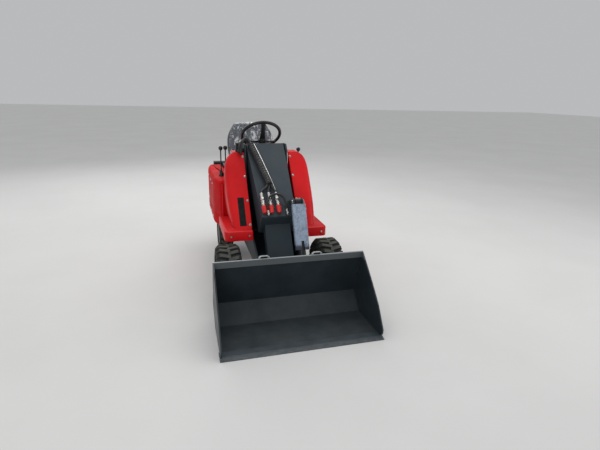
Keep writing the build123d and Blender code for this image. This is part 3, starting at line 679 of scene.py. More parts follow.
class LOADER_OT_stage(bpy.types.Operator):
    """Floor, soft lamps, plain surroundings and the camera"""

    bl_idname = "loader.stage"
    bl_label = "Stage"

    def execute(self, context):
        scene = context.scene
        scene.view_settings.view_transform = "Standard"
        mesh = bpy.data.meshes.new("floor")
        half = 40.0
        corners = [(-half, -half, 0), (half, -half, 0), (half, half, 0), (-half, half, 0)]
        mesh.from_pydata(corners, [], [(0, 1, 2, 3)])
        floor = bpy.data.objects.new("floor", mesh)
        scene.collection.objects.link(floor)
        mesh.materials.append(finish("floor"))

        world = bpy.data.worlds.new("surroundings")
        scene.world = world
        world.use_nodes = True
        tree = world.node_tree
        tree.nodes.clear()
        output = tree.nodes.new("ShaderNodeOutputWorld")
        rays = tree.nodes.new("ShaderNodeLightPath")
        last = None
        for ray, strength in (("", 0.72), ("Is Glossy Ray", 0.3), ("Is Camera Ray", 0.5)):
            glow = tree.nodes.new("ShaderNodeBackground")
            glow.inputs["Color"].default_value = (0.97, 0.985, 1.0, 1)
            glow.inputs["Strength"].default_value = strength
            if last:
                blend = tree.nodes.new("ShaderNodeMixShader")
                tree.links.new(rays.outputs[ray], blend.inputs["Fac"])
                tree.links.new(last, blend.inputs[1])
                tree.links.new(glow.outputs[0], blend.inputs[2])
                last = blend.outputs[0]
            else:
                last = glow.outputs[0]
        tree.links.new(last, output.inputs[0])

        lamps = [
            # name, place, aimed at, width, depth, power
            ("overhead", (0.2, 1.4, 4.4), (0, 0, 0.4), 4.4, 3.6, 85.0),
            ("windows_behind", (-1.5, 4.8, 3.4), (0, 0, 0.7), 6.0, 2.0, 70.0),
            ("front_fill", (-2.6, -4.8, 2.2), (0, 0, 0.5), 3.2, 2.0, 45.0),
            ("side_fill", (3.8, -1.6, 2.3), (0, 0, 0.6), 2.6, 2.2, 25.0),
        ]
        for name, place, aim, width, depth, power in lamps:
            data = bpy.data.lights.new(name, "AREA")
            data.shape = "RECTANGLE"
            data.size, data.size_y, data.energy = width, depth, power
            lamp = bpy.data.objects.new(name, data)
            lamp.location = place
            lamp.rotation_euler = (Vector(aim) - Vector(place)).to_track_quat("-Z", "Y").to_euler()
            scene.collection.objects.link(lamp)

        data = bpy.data.cameras.new("camera")
        data.sensor_fit, data.sensor_width, data.lens = "HORIZONTAL", 36.0, 25.362
        data.clip_end = 200.0
        camera = bpy.data.objects.new("camera", data)
        right = Vector((0.9626, -0.2696, 0.0248))
        ahead = Vector((0.2647, 0.9180, -0.2952)).normalized()
        right = (right - ahead * right.dot(ahead)).normalized()
        above = right.cross(ahead)
        turn = Matrix((right, above, -ahead)).transposed().to_4x4()
        camera.matrix_world = Matrix.Translation((-0.637, -2.005 - LENGTH / 2, 1.404)) @ turn
        scene.collection.objects.link(camera)
        scene.camera = camera
        return {"FINISHED"}


class LOADER_OT_frame_finish(bpy.types.Operator):
    """Paint, metal and rubber on every solid of the frame"""

    bl_idname = "loader.frame_finish"
    bl_label = "Frame finish"

    def execute(self, context):
        slots = {part["node"]: part["material_slot"] for part in frame["record"]["subparts"]}
        for node, obj in frame["nodes"].items():
            name, edge = SLOT_FINISH[slots[node]]
            material = finish(NODE_FINISH.get(node, name))
            if not obj.material_slots:
                obj.data.materials.append(material)
            for slot in obj.material_slots:
                slot.material = material
            if edge:
                soften(obj, edge, 38)
        return {"FINISHED"}


class LOADER_OT_bodywork(bpy.types.Operator):
    """Shells of the cowls, fenders and side pods, with the air slot, ribs and bolts"""

    bl_idname = "loader.bodywork"
    bl_label = "Bodywork"

    def execute(self, context):
        look = context.scene.loader_look
        skin = 0.006  # thickness of the panels
        cavity_top = 0.93  # height over which the cowl has no room inside
        cowl_rows = [
            # height, outer half width, front corner's radius
            (0.490, 0.300, 0.060), (0.510, 0.306, 0.070), (0.560, 0.314, 0.075), (0.620, 0.321, 0.075),
            (0.700, 0.325, 0.075), (0.780, 0.325, 0.070), (0.840, 0.321, 0.060), (0.890, 0.314, 0.050),
            (0.920, 0.305, 0.040), (0.942, 0.294, 0.030), (0.957, 0.281, 0.022), (0.967, 0.266, 0.014),
            (0.973, 0.250, 0.008),
        ]
        for side, word in SIDES:
            outer, inner = [], []
            for h, half, radius in cowl_rows:
                front = min(COWL_B + (h - COWL_H) * COWL_LEAN, COWL_BACK - 0.003)
                corners = [
                    (COWL_IN, COWL_BACK, 0), (COWL_IN, front, 0.004),
                    (half, front, radius), (half, COWL_BACK, 0),
                ]
                outer.append(ring_at(plan_outline(corners), h, side))
                if h < cavity_top:
                    corners = [
                        (COWL_IN + skin, COWL_BACK - skin, 0), (COWL_IN + skin, front + 0.012, 0.004),
                        (half - skin, front + 0.012, radius * 0.9), (half - skin, COWL_BACK - skin, 0),
                    ]
                    inner.append(ring_at(plan_outline(corners), h, side))
            shell = Form()
            shell.rings(outer[::-1] + inner)
            shell.box(machine(side * 0.21335, 1.26385, 0.972), (0.0827, 0.1283, skin))
            made = shell.piece(f"cowl_{word}", "chassis", "red_enamel", "red_paint", 38, 0.0012)
            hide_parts(f"front_cowl_{word}")

            corners = [(0.172, 1.190, 0), (0.172, 0.770, 0.012), (0.370, 0.770, 0.045), (0.370, 1.190, 0)]
            outline = plan_outline(corners)
            rows = [(0.490, 0.016), (0.489, 0.009), (0.485, 0.003), (0.478, 0.0), (0.420, 0.0)]
            rows += [(0.420, skin), (0.476, skin), (0.483, 0.018)]
            shell = Form()
            shell.rings([ring_at(outline, h, side, distance) for h, distance in rows])
            made = shell.piece(f"fender_{word}", "chassis", "red_enamel", "red_paint", 38, 0.001)
            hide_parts(f"front_fender_{word}")

            corners = [
                (0.2552, 1.200, 0.006), (0.350, 1.200, 0.035), (0.395, 1.350, 0.3),
                (0.395, 1.900, 0.12), (0.375, 2.000, 0.03), (0.2552, 2.000, 0.006),
            ]
            outline = plan_outline(corners)
            rows = [
                # height, how far the outline is drawn in
                (0.390, 0.012), (0.394, 0.004), (0.404, 0.0), (0.470, 0.0),
                (0.478, 0.004), (0.486, 0.004), (0.494, 0.0), (0.728, 0.0),
                (0.744, 0.003), (0.756, 0.009), (0.762, 0.018), (0.764, 0.03),
            ]
            body = Form()
            body.rings([ring_at(outline, h, side, distance) for h, distance in rows])
            # The pods take the darker copy of the body red: painted shade.
            made = body.piece(f"pod_{word}", "chassis", "shaded_pod_enamel", "red_paint", 38)
            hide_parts(f"side_pod_{word}")

        # Air slot: heights of its ends, its middle's x and its width
        low, high, middle, width = 0.508, 0.682, -0.232, 0.046
        # Near-black plate and slats on the cowl: a black grille, with painted shade of the recess behind it.
        slot = Form()
        start, end = on_cowl(middle, high, 0.0006), on_cowl(middle, low, 0.0006)
        centre = (start + end) / 2
        run = (end - start).length
        axes = (ACROSS, COWL_DOWN, COWL_OUT)
        slot.box(centre - COWL_OUT * 0.0005, (width, run, 0.0024), axes)
        slats = look.slot_slats
        lean = (COWL_OUT + COWL_DOWN * 0.8).normalized()
        for i in range(slats):
            spot = start.lerp(end, (i + 0.5) / slats) + COWL_OUT * 0.001
            slot.box(spot, (width - 0.006, 0.0018, 0.003), (ACROSS, lean.cross(ACROSS), lean))
        slot.piece("air_slot", "chassis", "shade_black", "black_plastic", bevel=0.0004)

        heads = Form()
        radius = look.bolt_radius
        for side in (-1, 1):
            for h in (0.945, 0.816, 0.661, 0.514):
                heads.dome(on_cowl(side * 0.1835, h), COWL_OUT, radius)
            for x in (0.2, 0.325):
                heads.dome(machine(side * x, 0.77, 0.452), FORWARD, radius * 0.85)
            for b in (1.42, 1.6, 1.82):
                for h in (0.435, 0.7):
                    heads.dome(machine(side * 0.395, b, h), ACROSS * side, radius)
        heads.dome(on_cowl(0.205, 0.658), COWL_OUT, radius)
        heads.dome(on_cowl(0.238, 0.594), COWL_OUT, radius)
        heads.piece("panel_bolts", "chassis", "zinc", "bright_steel")

        ribs = Form()
        for side in (-1, 1):
            for x, r in ((0.272, 0.0045), (0.304, 0.0055), (0.336, 0.0055)):
                rows = ((1.2025, 0.42), (1.1985, 0.45), (1.1985, 0.70), (1.2035, 0.735))
                ribs.tube(flowing([machine(side * x, b, h) for b, h in rows], 18), r, 12)
        ribs.piece("pod_ribs", "chassis", "red_enamel", "red_paint", 60)
        return {"FINISHED"}


def wrap_line():
    """Middle line of the wrapped hoses on the boom."""
    guide = [
        # x, s
        (-0.118, -0.014), (-0.104, 0.045), (-0.086, 0.12),
        (-0.064, 0.235), (-0.042, 0.335), (-0.034, 0.378),
    ]
    return flowing([on_boom(x, s, 0.0245) for x, s in guide], 200)


class LOADER_OT_hose_bundle(bpy.types.Operator):
    """Hoses in a spiral wrap that come over the boom's pivot and fan out to the couplers"""

    bl_idname = "loader.hose_bundle"
    bl_label = "Hose bundle"

    def execute(self, context):
        look = context.scene.loader_look
        line = wrap_line()
        length = sum((q - p).length for p, q in zip(line, line[1:]))
        step = length / (len(line) - 1)
        wrap = Form()

        def spiral(i, angle):
            groove = math.cos(angle - 2 * math.pi * i * step / 0.021)
            return 0.0195 + 0.0045 * max(0.0, min(1.0, groove * 1.7 + 0.2))

        wrap.tube(line, 0.022, 30, spiral)
        wrapped = wrap.piece("hose_wrap", "boom", "hose_wrap", "hose_rubber", 50)
        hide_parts("hose_bundle")

        tails = Form()
        radius = look.hose_radius
        for x, shift in zip(COUPLER_X, (-0.010, 0.0, 0.010)):
            guide = [
                on_boom(-0.036 + shift, 0.364, 0.022),
                on_boom(-0.036 + shift * 1.4, 0.392, 0.0235),
                on_boom((x - 0.036) / 2 + shift * 0.7, 0.414, 0.0195),
                on_boom(x, 0.432, 0.0165),
                on_boom(x, 0.456, 0.0163),
            ]
            tails.tube(flowing(guide, 26), radius, 16)
        tails.piece("hose_tails", "boom", "hose", "hose_rubber", 60)

        # Thin bright steel line along the wrap's right edge: painted highlight on the spiral wrap.
        glint_line = Form()
        thin = 0.0042
        guide = [
            # x, s, lift
            (-0.092, -0.014, 0.030), (-0.077, 0.05, 0.030), (-0.059, 0.125, 0.030),
            (-0.036, 0.24, 0.030), (-0.014, 0.345, 0.030), (0.002, 0.43, 0.024),
        ]

        def glint_ripple(i, angle):
            return thin * (1 + 0.07 * math.cos(4 * angle + i * 1.2) * math.cos(4 * angle - i * 1.2))

        glint_line.tube(flowing([on_boom(*row) for row in guide], 180), thin, 16, glint_ripple)
        glint_line.piece("wrap_edge_glint", "boom", "ferrule", "bright_steel", 60)

        feed = Form()
        rows = [
            # x on the boom, x at the valve box, sag
            (-0.127, -0.190, 0.0),
            (-0.117, -0.210, 0.012),
            (-0.108, -0.200, 0.030),
        ]
        for n, (x, end_x, sag) in enumerate(rows):
            lift = 0.024 + (0.008 if n == 1 else -0.006)
            guide = [
                on_boom(x + 0.001, -0.006, lift),
                on_boom(x - 0.003, -0.034, lift + 0.004),
                machine((x * 2 + end_x) / 3, 1.222, 1.062 + 0.007 * n),
                machine((x + end_x * 2) / 3, 1.205, 1.064 + 0.007 * n),
                machine(end_x, 1.176 - sag * 0.6, 1.030 - sag),
                machine(end_x, 1.168 - sag * 0.6, 0.990 - sag),
                machine(end_x, 1.190, 0.990 - sag * 0.3),
                machine(end_x, 1.213, 0.992),
            ]
            feed.tube(flowing(guide, 80), radius * 0.95, 16)
        hoses = feed.piece("feed_hoses", None, "hose", "hose_rubber", 60)
        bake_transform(hoses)
        return {"FINISHED"}


class LOADER_OT_couplers(bpy.types.Operator):
    """Ferrules, quick couplers and their red dust caps"""

    bl_idname = "loader.couplers"
    bl_label = "Couplers"

    def execute(self, context):
        # Rows of radius and distance down from the hose's end
        crimp = [(0.0, 0.0), (0.0112, 0.0), (0.0124, 0.0015)]
        for i in range(5):
            z = 0.004 + i * 0.0072
            crimp += [(0.0126, z), (0.0106, z + 0.0018), (0.0106, z + 0.0034), (0.0126, z + 0.0052)]
        crimp += [(0.0126, 0.0425), (0.011, 0.044), (0.0, 0.044)]
        nut = [(0.0145, 0.045), (0.0152, 0.0465), (0.0152, 0.0575), (0.0145, 0.059)]
        sleeve = [(0.0105, 0.059), (0.0105, 0.066), (0.0138, 0.067), (0.0138, 0.074), (0.0124, 0.0755)]
        sleeve += [(0.0124, 0.0795), (0.0138, 0.081), (0.0138, 0.094), (0.0128, 0.0955), (0.0128, 0.1095)]
        cap = [(0.0, 0.1105), (0.0142, 0.1105), (0.0158, 0.1125), (0.0158, 0.118), (0.0148, 0.1195)]
        cap += [(0.0148, 0.125), (0.0142, 0.127), (0.0142, 0.157), (0.0132, 0.163), (0.009, 0.1685)]
        cap += [(0.0, 0.1695)]
        bodies, caps = Form(), Form()
        for x in COUPLER_X:
            start = on_boom(x, COUPLER_S, 0.0163)
            bodies.lathe(start, DOWN, crimp, 24)
            bodies.lathe(start, DOWN, nut, 6)
            bodies.lathe(start, DOWN, sleeve, 24)
            caps.lathe(start, DOWN, cap, 26)
            for a in angles(12):
                spoke = ACROSS * math.cos(a) + OUT * math.sin(a)
                middle = start + DOWN * 0.142 + spoke * 0.0145
                caps.box(middle, (0.0022, 0.026, 0.0022), (spoke.cross(DOWN), DOWN, spoke))
            tie = [
                start + DOWN * 0.1215 + ACROSS * 0.0148,
                start + DOWN * 0.128 + ACROSS * 0.020 - OUT * 0.004,
                start + DOWN * 0.108 + ACROSS * 0.021 - OUT * 0.010,
                start + DOWN * 0.076 + ACROSS * 0.0145 - OUT * 0.004,
            ]
            caps.tube(flowing(tie, 24), 0.0015, 8)
        fitted = bodies.piece("coupler_bodies", "boom", "ferrule", "bright_steel", 28)
        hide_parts("quick_couplers")
        capped = caps.piece("dust_caps", "boom", "cap", "cap_red", 32)
        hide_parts("coupler_caps")
        return {"FINISHED"}


class LOADER_OT_loop_hose(bpy.types.Operator):
    """Hose that loops over the couplers, with its end fittings"""

    bl_idname = "loader.loop_hose"
    bl_label = "Loop hose"

    def execute(self, context):
        rows = [
            # x, s, lift
            (-0.0755, 0.628, 0.0083),
            (-0.0755, 0.585, 0.0120),
            (-0.0740, 0.530, 0.0440),
            (-0.0330, 0.487, 0.0560),
            (0.0330, 0.492, 0.0500),
            (0.0640, 0.550, 0.0220),
            (0.0600, 0.592, 0.0100),
            (0.0570, 0.630, 0.0083),
        ]
        radius = context.scene.loader_look.hose_radius
        loop = Form()
        loop.tube(flowing([on_boom(*row) for row in rows], 120), radius, 18)
        hose = loop.piece("loop_hose", "boom", "hose", "hose_rubber", 60)
        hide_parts("boom_hoses")
        turned = [
            # sides, rows of radius and distance: sleeve, nut and stub
            (20, [(0.0, 0), (0.0098, 0), (0.0098, 0.02), (0.0085, 0.021), (0.0, 0.021)]),
            (6, [(0.0095, 0.0215), (0.0105, 0.0225), (0.0105, 0.031), (0.0095, 0.032)]),
            (18, [(0.007, 0.032), (0.007, 0.044), (0.0, 0.045)]),
        ]
        ends = Form()
        for x in (-0.0755, 0.0572):
            for sides, profile in turned:
                ends.lathe(on_boom(x, 0.597, 0.0108), DOWN, profile, sides)
        ends.piece("loop_fittings", "boom", "ferrule", "bright_steel", 30)
        return {"FINISHED"}


class LOADER_OT_steering_wheel(bpy.types.Operator):
    """Steering wheel with a ribbed grip, three spokes and a hub cap"""

    bl_idname = "loader.steering_wheel"
    bl_label = "Steering wheel"

    def execute(self, context):
        tilt = math.radians(43)
        axis = Vector((0, math.sin(tilt), math.cos(tilt)))
        centre = machine(0, 1.40, 1.087)
        hub = centre - axis * 0.06
        level = axis.cross(ACROSS)
        grip = 0.152  # radius to the middle of the rim
        wheel = Form()
        rings = []
        for a in angles(144):
            radial = ACROSS * math.cos(a) + level * math.sin(a)
            ring = []
            for t in angles(18):
                inner = max(0.0, -math.cos(t))
                r = 0.0129 - 0.0011 * inner * (0.5 + 0.5 * math.cos(a * 36))
                ring.append(centre + radial * (grip + r * math.cos(t)) + axis * r * math.sin(t))
            rings.append(ring)
        wheel.rings(rings, closed=True)
        sections = [
            # share of the way out, half width, half thickness
            (0.1, 0.017, 0.006), (0.45, 0.012, 0.005), (0.8, 0.011, 0.005), (1.0, 0.014, 0.007),
        ]
        for degrees, wide in ((270, 1.45), (30, 1.0), (150, 1.0)):
            a = math.radians(degrees)
            radial = ACROSS * math.cos(a) + level * math.sin(a)
            beside = axis.cross(radial)
            spoke = []
            for share, half, thick in sections:
                spot = hub.lerp(centre, share ** 1.6) + radial * grip * share
                half *= wide
                spoke.append(
                    [spot + beside * half * math.cos(t) + axis * thick * math.sin(t) for t in angles(14)]
                )
            wheel.rings(spoke)
        profile = [(0.0, -0.0115), (0.026, -0.0115), (0.0295, -0.008), (0.0295, 0.006), (0.027, 0.012)]
        profile += [(0.0235, 0.0135), (0.0225, 0.0128), (0.0205, 0.0150), (0.012, 0.0175), (0.0, 0.018)]
        wheel.lathe(hub, axis, profile, 36)
        made = wheel.piece("wheel_and_spokes", "steering_wheel", "black_grip", "black_plastic", 50)
        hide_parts("steering_wheel")

        boot = Form()
        start = hub - axis * 0.0145
        ridges = [(0.0, 0.0)]
        for i in range(6):
            ridges += [(0.0225, -0.004 - i * 0.006), (0.0262, -0.007 - i * 0.006)]
        ridges += [(0.0225, -0.04), (0.0, -0.041)]
        boot.lathe(start, axis, ridges, 28)
        boot.piece("column_boot", "chassis", "black_plastic", "black_plastic", 60)
        return {"FINISHED"}


class LOADER_OT_levers(bpy.types.Operator):
    """Levers with round knobs over ribbed boots"""

    bl_idname = "loader.levers"
    bl_label = "Levers"

    def execute(self, context):
        rows = [
            # x, b, knob height, height of the base, knob radius
            (-0.290, 1.370, 0.990, 0.7645, 0.017),
            (-0.325, 1.385, 0.985, 0.7645, 0.017),
            (0.310, 1.390, 0.970, 0.7645, 0.017),
        ]
        # Radius and height of the points round a knob whose radius is 1
        ball = [(0.0, -1.0), (0.45, -0.98), (0.82, -0.6), (1.0, -0.05)]
        ball += [(0.93, 0.4), (0.62, 0.82), (0.3, 0.97), (0.0, 1.0)]
        knobs = Form()
        for x, b, knob_h, base_h, r in rows:
            foot = machine(x, b, base_h)
            top = knob_h - base_h
            knobs.lathe(foot, UP, [(out * r, top + up * r) for out, up in ball], 26)
            knobs.lathe(foot, UP, [(0.0, 0), (0.0048, 0), (0.0048, top - 0.7 * r), (0.0, top - 0.6 * r)], 14)
            tall = min(0.05, (top - r) * 0.8)
            boot = [(0.0, 0.0), (1.25 * r, 0.0)]
            for i in range(4):
                wide = 1.15 * r - i * 0.18 * r
                boot += [(wide, tall * (i + 0.35) / 4), (wide * 0.82, tall * (i + 0.8) / 4)]
            boot += [(0.006, tall), (0.0, tall)]
            knobs.lathe(foot, UP, boot, 24)
        made = knobs.piece("lever_knobs", "chassis", "black_grip", "black_plastic", 50)
        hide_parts("control_levers")

        plugs = Form()
        profile = [(0.0, 0), (0.008, 0), (0.008, 0.006), (0.0065, 0.0075), (0.0, 0.0075)]
        for b in (1.228, 1.252):
            for x in (-0.213, -0.189):
                plugs.lathe(machine(x, b, 1.0423), UP, profile, 6)
        plugs.piece("valve_plugs", "chassis", "zinc", "bright_steel", 30)
        return {"FINISHED"}


def pad(name, shape, across, along, thick):
    """Closed pad: shape gives a place from a point of the cube that runs from -1 to 1."""
    bm = bmesh.new()
    counts = (across, along, thick)
    seen = {}

    def vertex(u, v, w):
        key = (round(u, 5), round(v, 5), round(w, 5))
        if key not in seen:
            seen[key] = bm.verts.new(shape(u, v, w))
        return seen[key]

    for fixed in range(3):
        i, j = [k for k in range(3) if k != fixed]
        for end in (-1, 1):
            for p in range(counts[i]):
                for q in range(counts[j]):
                    corners = []
                    for dp, dq in ((0, 0), (1, 0), (1, 1), (0, 1)):
                        place = [0.0, 0.0, 0.0]
                        place[fixed] = end
                        place[i] = -1 + 2 * (p + dp) / counts[i]
                        place[j] = -1 + 2 * (q + dq) / counts[j]
                        corners.append(vertex(*place))
                    bm.faces.new(corners)
    bmesh.ops.recalc_face_normals(bm, faces=bm.faces)
    mesh = bpy.data.meshes.new(name)
    bm.to_mesh(mesh)
    bm.free()
    obj = bpy.data.objects.new(name, mesh)
    bpy.context.scene.collection.objects.link(obj)
    return obj


def rounded(u, v, w, share):
    """Point of a cube drawn part of the way to a ball."""
    x = u * math.sqrt(max(0, 1 - v * v / 2 - w * w / 2 + v * v * w * w / 3))
    y = v * math.sqrt(max(0, 1 - w * w / 2 - u * u / 2 + w * w * u * u / 3))
    z = w * math.sqrt(max(0, 1 - u * u / 2 - v * v / 2 + u * u * v * v / 3))
    return u + (x - u) * share, v + (y - v) * share, w + (z - w) * share


def seam(value, place, width):
    """Bump of height 1 at a place, which falls off on both sides."""
    return math.exp(-(((value - place) / width) ** 2))


def cushion_shape(u, v, w):
    """Seat cushion: raised sides, a dip for the sitter and sewn channels."""
    x, y, z = rounded(u, v, w, 0.24)
    half = 0.226 - 0.012 * max(0.0, -y)
    b = 1.700 + 0.197 * y
    h = 0.7715 + 0.074 * (0.5 + 0.5 * z)
    if w > 0.2:
        side = abs(x)
        h += 0.012 * seam(side, 0.86, 0.16) - 0.008 * seam(x, 0, 0.5) * (0.4 + 0.6 * y * y)
        channels = sum(seam(y, c, 0.03) for c in (-0.42, 0.02, 0.46)) * (side < 0.64)
        h -= 0.0055 * seam(side, 0.64, 0.028) + 0.004 * channels
        h += 0.0016 * noise.noise(Vector((x * 6, y * 6, 3)))
        h -= 0.016 * max(0.0, -y - 0.72) / 0.28
    return machine(x * half, b, h)


def back_shape(u, v, w, swell=0.0):
    """Seat back: narrows to its top, leans back, and has two side rolls.

    v runs up and w runs forward. swell lets the wrapping stand off it.
    """
    x, y, z = rounded(u, v, w, 0.26)
    up = 0.5 + 0.5 * y
    half = 0.221 - 0.022 * up
    if up > 0.5:
        half -= 0.05 * ((up - 0.5) / 0.5) ** 1.8
    half += swell
    h = 0.846 + 0.2995 * up + swell * up
    b = 1.911 + 0.05 * up - (0.043 - 0.008 * up + swell) * z
    if w > 0.0:
        side = abs(x)
        b -= 0.010 * seam(side, 0.84, 0.2) * (1 - 0.5 * up) - 0.006 * seam(x, 0, 0.45)
        if not swell:
            channels = sum(seam(y, c, 0.03) for c in (-0.35, 0.2)) * (side < 0.62)
            b += 0.005 * seam(side, 0.62, 0.03) + 0.004 * channels
    b += 0.0012 * noise.noise(Vector((x * 5, y * 5, 9)))
    return machine(x * half, b, h)


class LOADER_OT_seat(bpy.types.Operator):
    """Seat cushion and back in grained vinyl with sewn channels"""

    bl_idname = "loader.seat"
    bl_label = "Seat"

    def execute(self, context):
        rows = [
            # name, form, counts, replaced solid
            ("seat_pad", cushion_shape, (56, 48, 10), "seat_cushion"),
            ("back_pad", back_shape, (52, 44, 10), "seat_back"),
        ]
        for name, shape, counts, node in rows:
            obj = pad(name, shape, *counts)
            obj.data.materials.append(finish("vinyl"))
            obj.data.shade_smooth()
            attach(obj, "chassis")
            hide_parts(node)
        piping = Form()
        for side in (-1, 1):
            line = [back_shape(side * 0.999, -0.9 + 1.75 * i / 30, 0.999) for i in range(31)]
            piping.tube([p + FORWARD * 0.0005 for p in line], 0.0026, 8)
            line = [cushion_shape(side * 0.999, -0.9 + 1.8 * i / 30, 0.999) for i in range(31)]
            piping.tube(line, 0.0026, 8)
        piping.piece("seat_piping", "chassis", "black_plastic", "seat_vinyl", 60)
        brackets = Form()
        for side in (-1, 1):
            brackets.box(machine(side * 0.13, 1.925, 0.835), (0.045, 0.008, 0.13))
            brackets.box(machine(side * 0.13, 1.913, 0.773), (0.045, 0.03, 0.006))
        brackets.piece("seat_brackets", "chassis", "dark_enamel", "dark_paint", bevel=0.001)
        return {"FINISHED"}


class LOADER_OT_seat_film(bpy.types.Operator):
    """Clear wrinkled wrapping over the seat's back"""

    bl_idname = "loader.seat_film"
    bl_label = "Seat wrapping"

    def execute(self, context):
        across, steps = 84, 96
        proud = 0.005  # how far it stands off the back
        crest = 0.47  # share of its length in front, and again behind, with the back's top between
        verts, faces = [], []
        for j in range(steps + 1):
            v = j / steps
            for i in range(across + 1):
                u = -1 + 2 * i / across
                if v < crest:
                    place = back_shape(u, -0.93 + 1.93 * v / crest, 1.0, proud)
                elif v < 1 - crest:
                    place = back_shape(u, 1.0, 1 - 2 * (v - crest) / (1 - 2 * crest), proud)
                else:
                    place = back_shape(u, 1.0 - 1.7 * (v - 1 + crest) / crest, -1.0, proud)
                bunch = noise.fractal(Vector((u * 4.2, v * 9.0, 2.0)), 0.9, 2.1, 5)
                pinch = noise.noise(Vector((u * 11 + v * 9, v * 5, 7.0)))
                shift = 0.0022 + 0.0024 * bunch + 0.0018 * pinch
                back = -1 if v < 0.5 else 1
                verts.append(place + Vector((0.004 * u * bunch * 0.5, back * max(0.0, shift), 0.001 * bunch)))
        for j in range(steps):
            for i in range(across):
                a = j * (across + 1) + i
                faces.append((a, a + 1, a + across + 2, a + across + 1))
        mesh = bpy.data.meshes.new("seat_film")
        mesh.from_pydata([tuple(p) for p in verts], [], faces)
        obj = bpy.data.objects.new("seat_film", mesh)
        context.scene.collection.objects.link(obj)
        mesh.materials.append(finish("film"))
        mesh.shade_smooth()
        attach(obj, "chassis")
        return {"FINISHED"}


class LOADER_OT_wheels(bpy.types.Operator):
    """Wheel nuts, hub caps, side rings and valves on the four wheels"""

    bl_idname = "loader.wheels"
    bl_label = "Wheels"

    def execute(self, context):
        rows = [
            # body, half track, axle, disc offset, nut circle, cap radius, half tyre, rim radius, rubber
            ("front_wheel", 0.3575, FRONT_AXLE, 0.0432, 0.0355, 0.0235, 0.0825, 0.104, "front_rubber"),
            ("rear_wheel", 0.28, REAR_AXLE, 0.0323, 0.0295, 0.0215, 0.06, 0.084, "rear_rubber"),
        ]
        # Hub cap, as shares of its radius and heights over the disc
        dome = [(0.0, 0.0), (1.0, 0.0), (1.0, 0.004), (0.93, 0.008), (0.6, 0.0115), (0.0, 0.0125)]
        stem = [(0.0, 0), (0.0042, 0), (0.0034, 0.008), (0.0026, 0.009), (0.0026, 0.02), (0.0, 0.021)]
        for body, track, axle, disc, circle, cap_radius, half, rim_radius, rubber in rows:
            for side, word in SIDES:
                wheel = f"{body}_{word}"
                outward = ACROSS * side
                middle = machine(side * track, *axle)
                face = middle + outward * disc
                nuts = Form()
                for a in angles(5, 0.3):
                    nuts.bolt(face + Vector((0, math.cos(a), math.sin(a))) * circle, outward, 0.0062)
                nuts.piece(f"{body}_nuts_{word}", wheel, "zinc", "bright_steel", 30)
                cap = Form()
                cap.lathe(face, outward, [(share * cap_radius, z) for share, z in dome], 30)
                cap.piece(f"{body}_cap_{word}", wheel, "rim_enamel", "rim_paint", 40)
                rings = Form()
                for gap, tall, inset in ((0.022, 0.0022, 0.0105), (0.046, 0.0016, 0.0035)):
                    radius = rim_radius + gap
                    for away in (-outward, outward):
                        spot = middle + away * (half - inset)
                        loop = []
                        for a in angles(72):
                            radial = Vector((0, math.cos(a), math.sin(a)))
                            ring = []
                            for t in angles(6):
                                out = radial * (radius + tall * math.cos(t))
                                ring.append(spot + out + away * tall * math.sin(t))
                            loop.append(ring)
                        rings.rings(loop, closed=True)
                rings.piece(f"{body}_side_rings_{word}", wheel, rubber, "tyre_rubber", 60)
                valve = Form()
                spot = middle + outward * (half * 0.55) + Vector((0, 0, rim_radius - 0.018))
                lean = (outward + Vector((0, 0, -0.25))).normalized()
                valve.lathe(spot, lean, stem, 12)
                valve.piece(f"{body}_valve_{word}", wheel, "black_plastic", "black_plastic", 40)
        return {"FINISHED"}


class LOADER_OT_cylinders(bpy.types.Operator):
    """Glands and pin heads of the hydraulic cylinders"""

    bl_idname = "loader.cylinders"
    bl_label = "Cylinders"

    def execute(self, context):
        rows = [
            # name, body, x, base, eye, barrel radius, rod radius, length past the base
            ("lift", "lift_barrel", 0.0, LIFT_BASE, LIFT_EYE, 0.032, 0.016, 0.4154),
            ("tilt", "tilt_barrel", TILT_X, TILT_BASE, TILT_EYE, 0.025, 0.012, 0.3733),
        ]
        for name, body, x, base, eye, barrel, rod, reach in rows:
            start, end = machine(x, *base), machine(x, *eye)
            axis = (end - start).normalized()
            profile = [
                (rod + 0.0006, reach - 0.002), (barrel * 0.96, reach - 0.002),
                (barrel * 0.96, reach + 0.002), (rod + 0.006, reach + 0.004),
                (rod + 0.0045, reach + 0.007), (rod + 0.0006, reach + 0.007),
            ]
            gland = Form()
            gland.lathe(start, axis, profile, 28)
            gland.piece(f"{name}_gland", body, "barrel_enamel", "barrel_paint", 40)
        pins = Form()
        head = [(0.0, -0.004), (0.0165, -0.004), (0.0165, 0.001), (0.0145, 0.003), (0.0, 0.003)]
        for side in (-1, 1):
            pins.lathe(machine(TILT_X + side * 0.040, *TILT_BASE), ACROSS * side, head, 24)
        pins.piece("tilt_pin_heads", "boom", "zinc", "bright_steel", 30)
        hitch = Form()
        head = [(0.0, -0.004), (0.023, -0.004), (0.023, 0.0), (0.021, 0.002), (0.0, 0.002)]
        for side, x in ((-1, -0.1145), (1, 0.110)):
            hitch.lathe(machine(x, 0.545, 0.09), ACROSS * side, head, 26)
            hitch.bolt(machine(side * 0.106, 0.515, 0.105), ACROSS * side, 0.0055)
        hitch.piece("hitch_pin_heads", "bucket", "zinc", "bright_steel", 30)
        return {"FINISHED"}


